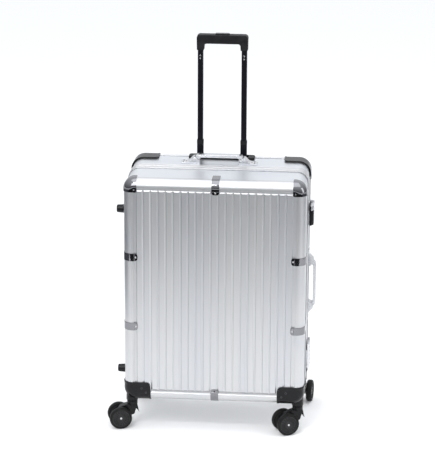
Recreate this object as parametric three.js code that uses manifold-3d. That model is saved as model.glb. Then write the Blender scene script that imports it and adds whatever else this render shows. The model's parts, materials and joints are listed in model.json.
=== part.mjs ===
// Hard shell suitcase on four swivel casters: two ribbed aluminium halves held in edge
// extrusions, a piano hinge, two latches, two carry handles and a telescopic pull handle.
// Millimetres, +Z up. X runs across the front, -Y is the front face, Z = 0 is the floor.
// The case stands closed with its pull handle out, its front casters trailing to the left
// and its rear casters trailing behind it.
import * as THREE from 'three';
import { mergeVertices } from 'three/addons/utils/BufferGeometryUtils.js';
import Module from 'manifold-3d';

const wasm = await Module();
wasm.setup();

// ---------------------------------------------------------------- driving dimensions
const WIDTH = 460;            // across the front, over the edge extrusions
const DEPTH = 264;            // front lip to rear lip, case closed
const HEIGHT = 590;           // case body without casters
const CORNER_RADIUS = 30;     // body corners as seen from the front
const EDGE_RADIUS = 22;       // bend of the edge extrusions
const GAP = 0.3;              // kept between two pieces that touch
const RUNNING = 0.4;          // radial clearance of a turning pin

const EDGE_LEG = 27;          // each leg of the L-shaped edge extrusion
const EDGE_WALL = 2.2;
const BAND_WALL = 1.2;        // sheet round the sides of each half
const BAND_END = 2.5;         // the band stops this far from the parting plane
const PANEL_WALL = 1.1;       // sheet of the front and rear panels
const PANEL_INSET = 0.5;      // from the start of the extrusion's bend to the panel's rim
const RIB_PITCH = 18.9;
const RIB_FOOT = 16.5;        // rib width at the sheet
const RIB_CREST = 13;         // rib width at its top
const RIB_RISE = 2;
const RIB_END_GAP = 4;        // from a rib's end to the lip of the extrusion

const RAIL_WIDTH = 18.6;      // each centre frame rail, along Y
const RAIL_WALL = 2.2;
const RAIL_WEB = 10;          // how deep the front rail's web stands inward
const TONGUE_INSET = 7;       // tongue of the front rail, from the case's outer face
const TONGUE_WALL = 2;
const TONGUE_REACH = 5;       // how far the tongue enters the rear half
const PARTING = 0.15;         // half of the gap between the two rails

const CAP_LAP = 7;            // bright corner caps lap this far over the extrusions' ends
const CAP_PROUD = 1.8;
const GUARD_X = 68;           // black corner guards, along X
const GUARD_Y = 62;
const GUARD_Z = 48;
const GUARD_PROUD = 2.5;
const GUARD_ROUND = 12;

const LINER_INSET = 12;       // lining walls, from the case's outer face
const LINER_WALL = 1.5;
const LINER_CLEAR = 1.8;      // front lining's square corner to the inside of the bend
const LINER_BEFORE_WELL = 6.4; // rear lining's floor to the pull handle's bezel
const LINER_RIM = 3;

const STEM_INSET_X = 16;      // swivel axis of a caster, in from the case's right or left face
const STEM_INSET_Y = 40;      // and from its front or rear face
const STEM_RADIUS = 5;
const SOCKET_RADIUS = 15;
const SOCKET_DROP = 14;       // socket below the body
const WHEEL_RADIUS = 29;
const WHEEL_PAIR_WIDTH = 54;
const WHEEL_CLEAR = 3;        // fork to the disc on each side of it
const WHEEL_CHAMFER = 3;
const AXLE_RADIUS = 5;
const TRAIL = 33;             // axle behind the swivel axis
const FORK_WIDTH = 18;
const FORK_HEAD_RADIUS = 13.5;
const FORK_HEAD_HEIGHT = 11.5;
const FORK_CLEAR = 0.5;       // fork head to the socket over it

const FOOT_REACH = 20.5;       // side feet stand out from the case
const FOOT_RADIUS = 12;
const FOOT_TIP_RADIUS = 10;
const FOOT_CLEAR = 5;         // foot to the leg of the edge extrusion
const UPPER_FOOT_DROP = 90;   // below the top
const LOWER_FOOT_RISE = 71;   // above the underside of the body

const HINGE_MARGIN = 85;      // hinge ends, from the top and from the underside
const HINGE_KNUCKLES = 5;
const KNUCKLE_SINK = 0.3;     // how far the knuckles run into their leaf
const KNUCKLE_RADIUS = 3.6;
const HINGE_PIN_RADIUS = 1.6;
const LEAF_WALL = 1.4;
const LEAF_WIDTH = 17;

const LATCHES = {
  upper: { fromTop: 118, height: 59, proud: 14 },
  lower: { fromBottom: 92, height: 74, proud: 9 },
};
const LATCH_BASE_WALL = 2.2;
const LATCH_PIVOT_Y = 28;
const LATCH_REACH = 16;       // lever past the parting plane
const LATCH_EAR = 3;
const LATCH_PIN_RADIUS = 1.5;

const TOP_HANDLE_X = -3;
const SIDE_HANDLE_DROP = 23;  // below the middle of the case
const BOW_HALF = 62;          // half length over the legs of a handle
const BOW_RISE = 23;          // above the face that it sits on
const BOW_THICK = 7.5;
const BOW_WIDTH = 20;
const BOW_LEG = 10;           // width of a leg, along the handle
const TOE_REACH = 8;          // toe that the bracket's roof holds
const TOE_THICK = 2;
const BRACKET_END = 98;       // half length over both brackets
const BRACKET_WIDTH = 27;
const BRACKET_INNER_WALL = 2; // between the finger gap and the leg's slot
const BRACKET_INNER_HEIGHT = 9; // of that wall, clear of the bow's inner corner
const BRACKET_CREST = 17;     // height of the bracket where the leg comes out
const BRACKET_TOE_END = 80;   // where the slope of the bracket meets its flat end
const BRACKET_PLATE = 3.5;    // thickness of the flat end
const POCKET_ROOF = 7.6;      // toes lift until they meet this

const TUBE_HALF_SPACING = 56; // pull handle tubes, from the middle
const TUBE_INSET_Y = 34;      // from the case's rear face
const TUBE_WALL = 1.1;
const INNER_TUBE = { x: 14, y: 17, radius: 4 };
const TUBE_SLIP = 0.3;        // clearance between two stages
const INNER_TUBE_TOP = 307;   // heights above the top face, handle out
const INNER_TUBE_BOTTOM = -35;
const MID_TUBE_TOP = 45;
const MID_TUBE_BOTTOM = -285;
const GUIDE_TUBE_BOTTOM = 24; // above the underside of the body
const BEZEL_END = 16;         // bezel past each end of its well
const BEZEL_LIP_FRONT = 4.1;  // and in front of it and behind it
const BEZEL_LIP_BACK = 3;
const BEZEL_RISE = 4;
const GRIP_OVER_TUBE_X = 2.5; // grip past the tubes at its ends
const GRIP_OVER_TUBE_Y = 3;   // and in front and behind
const WELL_ROOM_X = 3.5;      // the lowered grip's clearance in its well
const WELL_ROOM_Y = 1;
const WELL_DEPTH = 28;
const WELL_WALL = 2;
const GRIP_TOP = 323;
const GRIP_BAR_UNDERSIDE = 300;
const GRIP_SOCKET_BOTTOM = 283;
const BUTTON_HALF = 18;
const BUTTON_DEPTH = 13;
const BUTTON_RISE = 3;
const BUTTON_TRAVEL = 3;
const BUTTON_BODY = 7;

// ---------------------------------------------------------------- places worked out from them
const FORK_HEAD_LOW = 2 * WHEEL_RADIUS + 1;
const BOTTOM = FORK_HEAD_LOW + FORK_HEAD_HEIGHT + FORK_CLEAR + SOCKET_DROP;
const TOP = BOTTOM + HEIGHT;
const RIGHT = WIDTH / 2;
const BACK = DEPTH / 2;
const BAND_FACE = EDGE_WALL + 0.5;              // band's outer face, inside the case's outer face
const PANEL_FACE = EDGE_WALL + GAP;             // panel's face, behind the lip
const LEAF_OUTER = GAP + LEAF_WALL;
const SOCKET_BOTTOM = BOTTOM - SOCKET_DROP;
const RIB_COUNT = Math.floor(2 * (RIGHT - EDGE_LEG) / RIB_PITCH);
const CAP_SIZE = EDGE_LEG + CAP_LAP;
const STEM_X = RIGHT - STEM_INSET_X;
const STEM_Y = BACK - STEM_INSET_Y;
const WHEEL_SPACE = FORK_WIDTH + 2 * WHEEL_CLEAR; // between the two discs of a pair
const FOOT_Y = BACK - EDGE_LEG - FOOT_RADIUS - FOOT_CLEAR;
const HINGE_OUT = LEAF_OUTER + KNUCKLE_RADIUS - KNUCKLE_SINK; // hinge axis, out from the left face
const HINGE_BORE_RADIUS = HINGE_PIN_RADIUS + GAP;
const HINGE_LENGTH = HEIGHT - 2 * HINGE_MARGIN;
const TUBE_Y = BACK - TUBE_INSET_Y;
const GRIP_HALF = TUBE_HALF_SPACING + INNER_TUBE.x / 2 + GRIP_OVER_TUBE_X;
const GRIP_DEPTH = INNER_TUBE.y + 2 * GRIP_OVER_TUBE_Y;
const WELL_HALF = GRIP_HALF + WELL_ROOM_X;      // recess that the lowered grip drops into
const WELL_FRONT = TUBE_Y - GRIP_DEPTH / 2 - WELL_ROOM_Y;
const WELL_BACK = TUBE_Y + GRIP_DEPTH / 2 + WELL_ROOM_Y;
const BEZEL_HALF = WELL_HALF + BEZEL_END;
const BEZEL_FRONT = WELL_FRONT - BEZEL_LIP_FRONT;
const BEZEL_BACK = WELL_BACK + BEZEL_LIP_BACK;
const CARRY_Y = (RAIL_WIDTH + BEZEL_FRONT) / 2; // both carry handles, between rail and bezel
const FAR = 2000;                               // past every face of the case

// ---------------------------------------------------------------- materials
function paint(color, roughness, metalness) {
  return new THREE.MeshStandardMaterial({ color, roughness, metalness });
}
const MATERIALS = {
  shell: paint(0xc9cccf, 0.38, 0.9),
  extrusion: paint(0xdcdee0, 0.25, 0.95),
  chrome: paint(0xe8e8e8, 0.08, 1.0),
  blackPlastic: paint(0x17181a, 0.5, 0.0),
  blackTube: paint(0x1b1c1e, 0.35, 0.6),
  rubber: paint(0x141414, 0.85, 0.0),
  wheel: paint(0x1c1c1d, 0.6, 0.0),
  lining: paint(0x6d7076, 0.9, 0.0),
};

// ---------------------------------------------------------------- solids
function solid(geometry) {
  const flat = geometry.clone();
  for (const attribute of ['normal', 'uv']) flat.deleteAttribute(attribute);
  const merged = mergeVertices(flat, 1e-4);
  return new wasm.Manifold(new wasm.Mesh({
    numProp: 3,
    vertProperties: merged.attributes.position.array,
    triVerts: new Uint32Array(merged.index.array),
  }));
}

function geometryOf(body) {
  const { vertProperties, triVerts } = body.getMesh();
  const geometry = new THREE.BufferGeometry();
  geometry.setAttribute('position', new THREE.BufferAttribute(vertProperties, 3));
  geometry.setIndex(new THREE.BufferAttribute(triVerts, 1));
  return geometry;
}

function union(bodies) {
  return bodies.reduce((whole, body) => whole.add(body));
}

function box(x0, x1, y0, y1, z0, z1) {
  const geometry = new THREE.BoxGeometry(Math.abs(x1 - x0), Math.abs(y1 - y0), Math.abs(z1 - z0));
  return solid(geometry.translate((x0 + x1) / 2, (y0 + y1) / 2, (z0 + z1) / 2));
}

function rod(radius, z0, z1, x = 0, y = 0, segments = 16) {
  const geometry = new THREE.CylinderGeometry(radius, radius, z1 - z0, segments);
  return solid(geometry.rotateX(Math.PI / 2).translate(x, y, (z0 + z1) / 2));
}

// Rounded rectangle between two corners, as a shape or as a hole's path.
function rounded(Outline, x0, x1, y0, y1, radius) {
  const outline = new Outline();
  outline.moveTo(x0 + radius, y0);
  outline.lineTo(x1 - radius, y0);
  outline.absarc(x1 - radius, y0 + radius, radius, -Math.PI / 2, 0);
  outline.lineTo(x1, y1 - radius);
  outline.absarc(x1 - radius, y1 - radius, radius, 0, Math.PI / 2);
  outline.lineTo(x0 + radius, y1);
  outline.absarc(x0 + radius, y1 - radius, radius, Math.PI / 2, Math.PI);
  outline.lineTo(x0, y0 + radius);
  outline.absarc(x0 + radius, y0 + radius, radius, Math.PI, 1.5 * Math.PI);
  return outline;
}

function polygon(points) {
  return new THREE.Shape(points.map(([x, y]) => new THREE.Vector2(x, y)));
}

// An outline in X and Y, pulled up along Z.
function upright(shape, z0, z1, curveSegments = 4) {
  const settings = { depth: z1 - z0, bevelEnabled: false, curveSegments };
  return solid(new THREE.ExtrudeGeometry(shape, settings).translate(0, 0, z0));
}

// An outline in X and Z, pulled along Y.
function crosswise(shape, y0, y1, curveSegments = 4) {
  const settings = { depth: Math.abs(y1 - y0), bevelEnabled: false, curveSegments };
  const geometry = new THREE.ExtrudeGeometry(shape, settings).rotateX(Math.PI / 2);
  return solid(geometry.translate(0, Math.max(y0, y1), 0));
}

// The case's outer form, grown by a distance on every side (or shrunk by a negative one).
function form(grow) {
  const inset = EDGE_RADIUS;
  const shape = rounded(THREE.Shape, -RIGHT + inset, RIGHT - inset, BOTTOM + inset, TOP - inset,
    CORNER_RADIUS - inset);
  const geometry = new THREE.ExtrudeGeometry(shape, {
    depth: DEPTH - 2 * inset,
    bevelSize: inset + grow,
    bevelThickness: inset + grow,
    bevelSegments: 4,
    curveSegments: 4,
  });
  return solid(geometry.rotateX(Math.PI / 2).translate(0, BACK - inset, 0));
}

// A skin that follows the case's outer form, between two distances from it.
function skin(outer, inner) {
  return form(outer).subtract(form(inner));
}

// A flat ring round the case's section, between two distances inside the outer face.
function ring(outer, inner, y0, y1) {
  const edge = (Outline, inset) => rounded(Outline, -RIGHT + inset, RIGHT - inset,
    BOTTOM + inset, TOP - inset, CORNER_RADIUS - inset);
  const shape = edge(THREE.Shape, outer);
  shape.holes.push(edge(THREE.Path, inner));
  return crosswise(shape, y0, y1);
}

// ---------------------------------------------------------------- assembly helpers
const suitcase = new THREE.Group();

function piece(name, body, material, parent = suitcase) {
  const mesh = new THREE.Mesh(geometryOf(body), material);
  mesh.name = name;
  parent.add(mesh);
  return mesh;
}

const HALVES = { front: -1, rear: 1 };
const SIDES = { left: -1, right: 1 };
const innerTube = (grow) => tubeOutline(INNER_TUBE.x + 2 * grow, INNER_TUBE.y + 2 * grow,
  INNER_TUBE.radius + grow);

function tubeOutline(x, y, radius) {
  return (Outline, centre) => rounded(Outline, centre - x / 2, centre + x / 2,
    TUBE_Y - y / 2, TUBE_Y + y / 2, radius);
}

const MID_GROW = TUBE_WALL + TUBE_SLIP;         // mid tube's outline over the inner tube's
const GUIDE_GROW = 2 * MID_GROW;

function tube(grow, wall, centre, z0, z1) {
  const shape = innerTube(grow)(THREE.Shape, centre);
  shape.holes.push(innerTube(grow - wall)(THREE.Path, centre));
  return upright(shape, z0, z1, 3);
}

function tubePlug(grow, centre, z0, z1) {
  return upright(innerTube(grow)(THREE.Shape, centre), z0, z1, 3);
}

// ---------------------------------------------------------------- panels, bands and extrusions
function ribbedPanel(side) {
  const face = side * (BACK - PANEL_FACE);
  const back = side * (BACK - PANEL_FACE - PANEL_WALL);
  const inset = EDGE_RADIUS + PANEL_INSET;
  const sheet = rounded(THREE.Shape, -RIGHT + inset, RIGHT - inset, BOTTOM + inset, TOP - inset,
    CORNER_RADIUS - inset);
  let panel = crosswise(sheet, face, back);
  const ribLow = BOTTOM + EDGE_LEG + RIB_END_GAP;
  const ribHigh = TOP - EDGE_LEG - RIB_END_GAP;
  const middleOfSheet = (face + back) / 2;
  const ribs = [];
  const hollows = [];
  for (let i = 0; i < RIB_COUNT; i += 1) {
    const x = (i - (RIB_COUNT - 1) / 2) * RIB_PITCH;
    const crest = face + side * RIB_RISE;
    const under = crest - side * PANEL_WALL;
    ribs.push(upright(polygon([
      [x - RIB_FOOT / 2, middleOfSheet], [x - RIB_CREST / 2, crest],
      [x + RIB_CREST / 2, crest], [x + RIB_FOOT / 2, middleOfSheet],
    ]), ribLow, ribHigh));
    hollows.push(upright(polygon([
      [x - RIB_FOOT / 2 + PANEL_WALL, back - side], [x - RIB_CREST / 2 + PANEL_WALL / 2, under],
      [x + RIB_CREST / 2 - PANEL_WALL / 2, under], [x + RIB_FOOT / 2 - PANEL_WALL, back - side],
    ]), ribLow + PANEL_WALL, ribHigh - PANEL_WALL));
  }
  panel = panel.add(union(ribs));
  return panel.subtract(union(hollows));
}

function bezelOpening() {
  const room = WELL_WALL + GAP;
  return box(-WELL_HALF - room, WELL_HALF + room, WELL_FRONT - room, WELL_BACK + room,
    TOP - EDGE_RADIUS, TOP + FAR);
}

function band(half) {
  const side = HALVES[half];
  const sheet = ring(BAND_FACE, BAND_FACE + BAND_WALL, side * (BACK - EDGE_RADIUS - 1),
    side * BAND_END);
  return half === 'rear' ? sheet.subtract(bezelOpening()) : sheet;
}

// The four straight lengths of extrusion round one half; corner pieces cover their ends.
function edgeLengths(half) {
  const side = HALVES[half];
  const wall = skin(0, -EDGE_WALL);
  const y = [side * (BACK - EDGE_LEG), side * FAR];
  const x = RIGHT - EDGE_LEG;
  const z = [BOTTOM + EDGE_LEG, TOP - EDGE_LEG];
  const lengths = {
    top: box(-x, x, ...y, TOP - EDGE_LEG, FAR),
    bottom: box(-x, x, ...y, 0, BOTTOM + EDGE_LEG),
    left: box(-FAR, -RIGHT + EDGE_LEG, ...y, ...z),
    right: box(RIGHT - EDGE_LEG, FAR, ...y, ...z),
  };
  const notch = box(-BEZEL_HALF - GAP, BEZEL_HALF + GAP, BEZEL_FRONT - GAP, BEZEL_BACK + GAP,
    TOP - EDGE_RADIUS, FAR);
  for (const [place, zone] of Object.entries(lengths)) {
    const length = wall.intersect(zone);
    const notched = half === 'rear' && place === 'top' ? length.subtract(notch) : length;
    piece(`${half}_edge_${place}`, notched, MATERIALS.extrusion);
  }
}

function frameRail(half) {
  const side = HALVES[half];
  const start = side * PARTING;
  const webEnd = side * (PARTING + 2);
  const webInset = half === 'front' ? RAIL_WEB : TONGUE_INSET - 0.6;
  const rail = ring(0, RAIL_WALL, start, side * RAIL_WIDTH)
    .add(ring(RAIL_WALL / 2, webInset, start, webEnd));
  if (half === 'rear') return rail;
  return rail.add(ring(TONGUE_INSET, TONGUE_INSET + TONGUE_WALL, webEnd / 2, TONGUE_REACH));
}

// An open tray: a ring of lining with a floor that stands against the panel.
function liner(side, floorDepth) {
  const floor = side * floorDepth;
  const sheet = rounded(THREE.Shape, -RIGHT + LINER_INSET, RIGHT - LINER_INSET,
    BOTTOM + LINER_INSET, TOP - LINER_INSET, CORNER_RADIUS - LINER_INSET);
  return ring(LINER_INSET, LINER_INSET + LINER_WALL, side * LINER_RIM, floor)
    .add(crosswise(sheet, floor - side * LINER_WALL, floor));
}

// Where a floor's square corner still clears the bend of the edge extrusions.
function deepestFloor() {
  const centreToCorner = EDGE_RADIUS - EDGE_WALL - LINER_CLEAR;
  const across = Math.max(0, EDGE_RADIUS - LINER_INSET);
  return BACK - EDGE_RADIUS + Math.sqrt(centreToCorner ** 2 - across ** 2);
}

// ---------------------------------------------------------------- corner pieces
function cornerZone(xSide, ySide, zSide, sizeX, sizeY, sizeZ, round) {
  const x = [xSide * (RIGHT - sizeX), xSide * (RIGHT + 50)].sort((a, b) => a - b);
  const edge = zSide > 0 ? TOP : BOTTOM;
  const z = [edge - zSide * sizeZ, edge + zSide * 50].sort((a, b) => a - b);
  const shape = rounded(THREE.Shape, ...x, ...z, round);
  return crosswise(shape, ySide * (BACK - sizeY), ySide * (BACK + 50), 3);
}

function cornerCap(side) {
  return skin(CAP_PROUD, GAP)
    .intersect(cornerZone(side, -1, 1, CAP_SIZE, CAP_SIZE, CAP_SIZE, 4));
}

function cornerGuard(xSide, ySide, zSide) {
  const guard = skin(GUARD_PROUD, GAP)
    .intersect(cornerZone(xSide, ySide, zSide, GUARD_X, GUARD_Y, GUARD_Z, GUARD_ROUND));
  if (zSide > 0) return guard;
  const x = xSide * STEM_X;
  const y = ySide * STEM_Y;
  const socket = rod(SOCKET_RADIUS, SOCKET_BOTTOM, BOTTOM + CORNER_RADIUS / 2, x, y, 20)
    .subtract(form(GAP));
  return guard.add(socket)
    .subtract(rod(STEM_RADIUS + RUNNING, SOCKET_BOTTOM - 1, BOTTOM - 1.5, x, y));
}

// ---------------------------------------------------------------- casters
// Local frame: Z is the swivel axis, the floor is at 0 and the axle lies TRAIL towards -X.
function casterFork() {
  const headLow = FORK_HEAD_LOW;
  const headTop = headLow + FORK_HEAD_HEIGHT;
  const arm = new THREE.Shape();
  arm.moveTo(FORK_HEAD_RADIUS - 2, headLow + 3);
  arm.lineTo(-FORK_HEAD_RADIUS + 2, headLow + 3);
  arm.quadraticCurveTo(-TRAIL + 6, headLow - 6, -TRAIL - 10, WHEEL_RADIUS + 6);
  arm.absarc(-TRAIL, WHEEL_RADIUS, 10, Math.PI * 0.85, Math.PI * 1.6, false);
  arm.lineTo(FORK_HEAD_RADIUS - 8, WHEEL_RADIUS + 4);
  arm.lineTo(FORK_HEAD_RADIUS - 4, headLow - 8);
  const bore = new THREE.CylinderGeometry(AXLE_RADIUS + RUNNING, AXLE_RADIUS + RUNNING,
    FORK_WIDTH + 2, 16).translate(-TRAIL, 0, WHEEL_RADIUS);
  return crosswise(arm, -FORK_WIDTH / 2, FORK_WIDTH / 2, 4)
    .subtract(solid(bore))
    .add(rod(FORK_HEAD_RADIUS, headLow, headTop, 0, 0, 20))
    .add(rod(STEM_RADIUS, headTop - 1, BOTTOM - 2));
}

// Two discs on one axle, turned as one closed profile about its own axis.
function wheelPair() {
  const rim = WHEEL_RADIUS;
  const outer = WHEEL_PAIR_WIDTH / 2;
  const inner = WHEEL_SPACE / 2;
  const chamfer = WHEEL_CHAMFER;
  const half = [
    [AXLE_RADIUS, inner], [rim - chamfer, inner], [rim, inner + chamfer],
    [rim, outer - chamfer], [rim - chamfer, outer], [0, outer],
  ];
  const mirrored = half.map(([r, y]) => [r, -y]).reverse();
  const profile = [...mirrored, ...half].map(([r, y]) => new THREE.Vector2(r, y));
  const geometry = new THREE.LatheGeometry(profile, 20);
  return solid(geometry.translate(-TRAIL, 0, WHEEL_RADIUS));
}

function caster(xName, yName, swivelDegrees) {
  const turned = new THREE.Group();
  turned.position.set(SIDES[xName] * STEM_X, HALVES[yName] * STEM_Y, 0);
  turned.rotation.z = THREE.MathUtils.degToRad(swivelDegrees);
  suitcase.add(turned);
  piece(`caster_fork_${yName}_${xName}`, casterFork(), MATERIALS.blackPlastic, turned);
  piece(`caster_wheels_${yName}_${xName}`, wheelPair(), MATERIALS.wheel, turned);
}

// ---------------------------------------------------------------- feet and hinge
function sideFoot(ySide, z) {
  const root = RIGHT - BAND_FACE + GAP;
  const length = RIGHT + FOOT_REACH - root;
  const cone = new THREE.CylinderGeometry(FOOT_TIP_RADIUS, FOOT_RADIUS, length, 16);
  cone.rotateZ(Math.PI / 2);
  return solid(cone.translate(-root - length / 2, ySide * FOOT_Y, z));
}

function hingeLeaf(half) {
  const side = HALVES[half];
  const middle = (TOP + BOTTOM) / 2;
  const low = middle - HINGE_LENGTH / 2;
  const step = HINGE_LENGTH / HINGE_KNUCKLES;
  const axisX = -RIGHT - HINGE_OUT;
  const plateX = [-RIGHT - LEAF_OUTER, -RIGHT - GAP];
  const plateStart = side * (KNUCKLE_RADIUS - 0.4);
  let leaf = box(...plateX, plateStart, side * LEAF_WIDTH, low, low + HINGE_LENGTH);
  for (let i = 0; i < HINGE_KNUCKLES; i += 1) {
    if ((i % 2 === 0) !== (half === 'rear')) continue;
    const z0 = low + i * step + GAP / 2;
    const z1 = low + (i + 1) * step - GAP / 2;
    leaf = leaf.add(rod(KNUCKLE_RADIUS, z0, z1, axisX, 0))
      .add(box(...plateX, 0, plateStart + side, z0, z1));
  }
  const pin = (radius) => rod(radius, low + 0.5, low + HINGE_LENGTH - 0.5, axisX, 0, 12);
  return half === 'rear' ? leaf.add(pin(HINGE_PIN_RADIUS)) : leaf.subtract(pin(HINGE_BORE_RADIUS));
}

// ---------------------------------------------------------------- latches
// The base stays on the rear half; its lever reaches over the keeper on the front half.
function latch(name) {
  const { fromTop, fromBottom, height, proud } = LATCHES[name];
  const z = fromTop === undefined ? BOTTOM + fromBottom : TOP - fromTop;
  const low = z - height / 2;
  const high = z + height / 2;
  const foot = RIGHT + GAP;
  const face = foot + LATCH_BASE_WALL;
  const round = (RIGHT + proud - face - GAP) / 2;
  const pivotX = face + GAP + round;
  const pinHole = rod(LATCH_PIN_RADIUS + GAP, low - 1, high + 1, pivotX, LATCH_PIVOT_Y, 12);
  let base = box(foot, face, 1, LATCH_PIVOT_Y + round, low, high);
  for (const [z0, z1] of [[low, low + LATCH_EAR], [high - LATCH_EAR, high]]) {
    base = base.add(box(foot, RIGHT + proud, LATCH_PIVOT_Y - round, LATCH_PIVOT_Y + round, z0, z1));
  }
  piece(`latch_base_${name}`, base.subtract(pinHole), MATERIALS.extrusion);

  const outline = new THREE.Shape();
  outline.moveTo(pivotX - round, -LATCH_REACH);
  outline.lineTo(pivotX + round, -LATCH_REACH);
  outline.lineTo(pivotX + round, LATCH_PIVOT_Y);
  outline.absarc(pivotX, LATCH_PIVOT_Y, round, 0, Math.PI);
  const inside = LATCH_EAR + GAP;
  const lever = upright(outline, low + inside, high - inside, 6)
    .add(rod(LATCH_PIN_RADIUS, low + 0.5, high - 0.5, pivotX, LATCH_PIVOT_Y, 12));
  const finish = name === 'upper' ? MATERIALS.blackPlastic : MATERIALS.extrusion;
  piece(`latch_lever_${name}`, lever, finish);

  const keeper = box(foot, face, -LATCH_REACH - 4, -1, low + height / 4, high - height / 4);
  piece(`latch_keeper_${name}`, keeper, MATERIALS.extrusion);
}

// ---------------------------------------------------------------- carry handles
// Local frame: X along the handle, Z out of the face, Z = 0 on that face.
function carryBow() {
  const legInner = BOW_HALF - BOW_LEG;
  const under = BOW_RISE - BOW_THICK;
  const toe = GAP + TOE_THICK;
  const end = BOW_HALF + TOE_REACH;
  const half = [
    [legInner - 5, under], [legInner, under - 4], [legInner, GAP], [end, GAP], [end, toe],
    [BOW_HALF, toe], [BOW_HALF, under - 1], [BOW_HALF - 5, BOW_RISE - 2], [BOW_HALF - 13, BOW_RISE],
  ];
  const mirrored = half.map(([x, z]) => [-x, z]).reverse();
  return crosswise(polygon([...half, ...mirrored]), -BOW_WIDTH / 2, BOW_WIDTH / 2);
}

// A wedge-shaped housing whose slot and pocket hold one leg of the bow.
function carryBracket(side) {
  const slip = 0.5;
  const slotNear = BOW_HALF - BOW_LEG - slip;
  const near = slotNear - BRACKET_INNER_WALL;
  const halfSlot = BOW_WIDTH / 2 + slip;
  const block = (x0, x1, z0, z1) => box(side * x0, side * x1, -halfSlot, halfSlot, z0, z1);
  const housing = polygon([
    [near, GAP], [near, BRACKET_INNER_HEIGHT], [slotNear, BRACKET_INNER_HEIGHT + 1],
    [BOW_HALF - 4, BRACKET_CREST], [BOW_HALF + 2, BRACKET_CREST],
    [BRACKET_TOE_END, BRACKET_PLATE + 1], [BRACKET_TOE_END + 4, BRACKET_PLATE],
    [BRACKET_END - 2, BRACKET_PLATE], [BRACKET_END, BRACKET_PLATE - 2], [BRACKET_END, GAP],
  ].map(([x, z]) => [side * x, z]));
  return crosswise(housing, -BRACKET_WIDTH / 2, BRACKET_WIDTH / 2)
    .subtract(block(slotNear, BOW_HALF + TOE_REACH + slip, -1, POCKET_ROOF))
    .subtract(block(slotNear, BOW_HALF + slip, -1, BRACKET_CREST + 1));
}

function carryHandle(name, ends, place) {
  suitcase.add(place);
  piece(`${name}_grip`, carryBow(), MATERIALS.extrusion, place);
  for (const [end, side] of Object.entries(ends)) {
    piece(`${name}_bracket_${end}`, carryBracket(side), MATERIALS.extrusion, place);
  }
}

// ---------------------------------------------------------------- pull handle
function bezel() {
  const well = [WELL_FRONT, WELL_BACK];
  const low = TOP - WELL_DEPTH - WELL_WALL;
  let body = box(-BEZEL_HALF, BEZEL_HALF, BEZEL_FRONT, BEZEL_BACK,
    TOP - BAND_FACE + GAP, TOP + BEZEL_RISE)
    .add(box(-WELL_HALF - WELL_WALL, WELL_HALF + WELL_WALL, WELL_FRONT - WELL_WALL,
      WELL_BACK + WELL_WALL, low, TOP))
    .subtract(box(-WELL_HALF, WELL_HALF, ...well, TOP - WELL_DEPTH, TOP + FAR));
  for (const side of Object.values(SIDES)) {
    body = body.subtract(tubePlug(MID_GROW + TUBE_SLIP, side * TUBE_HALF_SPACING, low - 1, TOP));
  }
  return body;
}

function guideFoot() {
  const halfY = INNER_TUBE.y / 2 + GUIDE_GROW + 4;
  const socketLow = BOTTOM + GUIDE_TUBE_BOTTOM - GAP;
  const reach = TUBE_HALF_SPACING + INNER_TUBE.x / 2 + GUIDE_GROW + 5;
  let foot = box(-reach, reach, TUBE_Y - halfY, TUBE_Y + halfY,
    BOTTOM + BAND_FACE + BAND_WALL + GAP, socketLow + 12);
  for (const side of Object.values(SIDES)) {
    foot = foot.subtract(tubePlug(GUIDE_GROW + GAP, side * TUBE_HALF_SPACING, socketLow, TOP));
  }
  return foot;
}

function pullGrip() {
  const shape = new THREE.Shape();
  const inner = TUBE_HALF_SPACING - INNER_TUBE.x / 2 - 3;
  const outline = [
    [inner, GRIP_SOCKET_BOTTOM], [GRIP_HALF, GRIP_SOCKET_BOTTOM], [GRIP_HALF, GRIP_TOP - 7],
    [GRIP_HALF - 2, GRIP_TOP - 2.5], [GRIP_HALF - 7, GRIP_TOP],
  ];
  const full = [[inner - 4, GRIP_BAR_UNDERSIDE], [inner, GRIP_BAR_UNDERSIDE - 4], ...outline];
  const points = [...full, ...full.map(([x, z]) => [-x, z]).reverse()];
  points.forEach(([x, z], i) => (i ? shape.lineTo(x, TOP + z) : shape.moveTo(x, TOP + z)));
  let grip = crosswise(shape, TUBE_Y - GRIP_DEPTH / 2, TUBE_Y + GRIP_DEPTH / 2);
  const pocket = buttonBlock(GAP, TOP + GRIP_TOP - BUTTON_BODY - BUTTON_TRAVEL - GAP, TOP + FAR);
  grip = grip.subtract(pocket);
  for (const side of Object.values(SIDES)) {
    grip = grip.subtract(tubePlug(GAP, side * TUBE_HALF_SPACING,
      TOP + GRIP_SOCKET_BOTTOM - 1, TOP + INNER_TUBE_TOP + GAP));
  }
  return grip;
}

function buttonBlock(grow, z0, z1) {
  const x = BUTTON_HALF + grow;
  const y = BUTTON_DEPTH / 2 + grow;
  return upright(rounded(THREE.Shape, -x, x, TUBE_Y - y, TUBE_Y + y, 4), z0, z1, 3);
}

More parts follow.
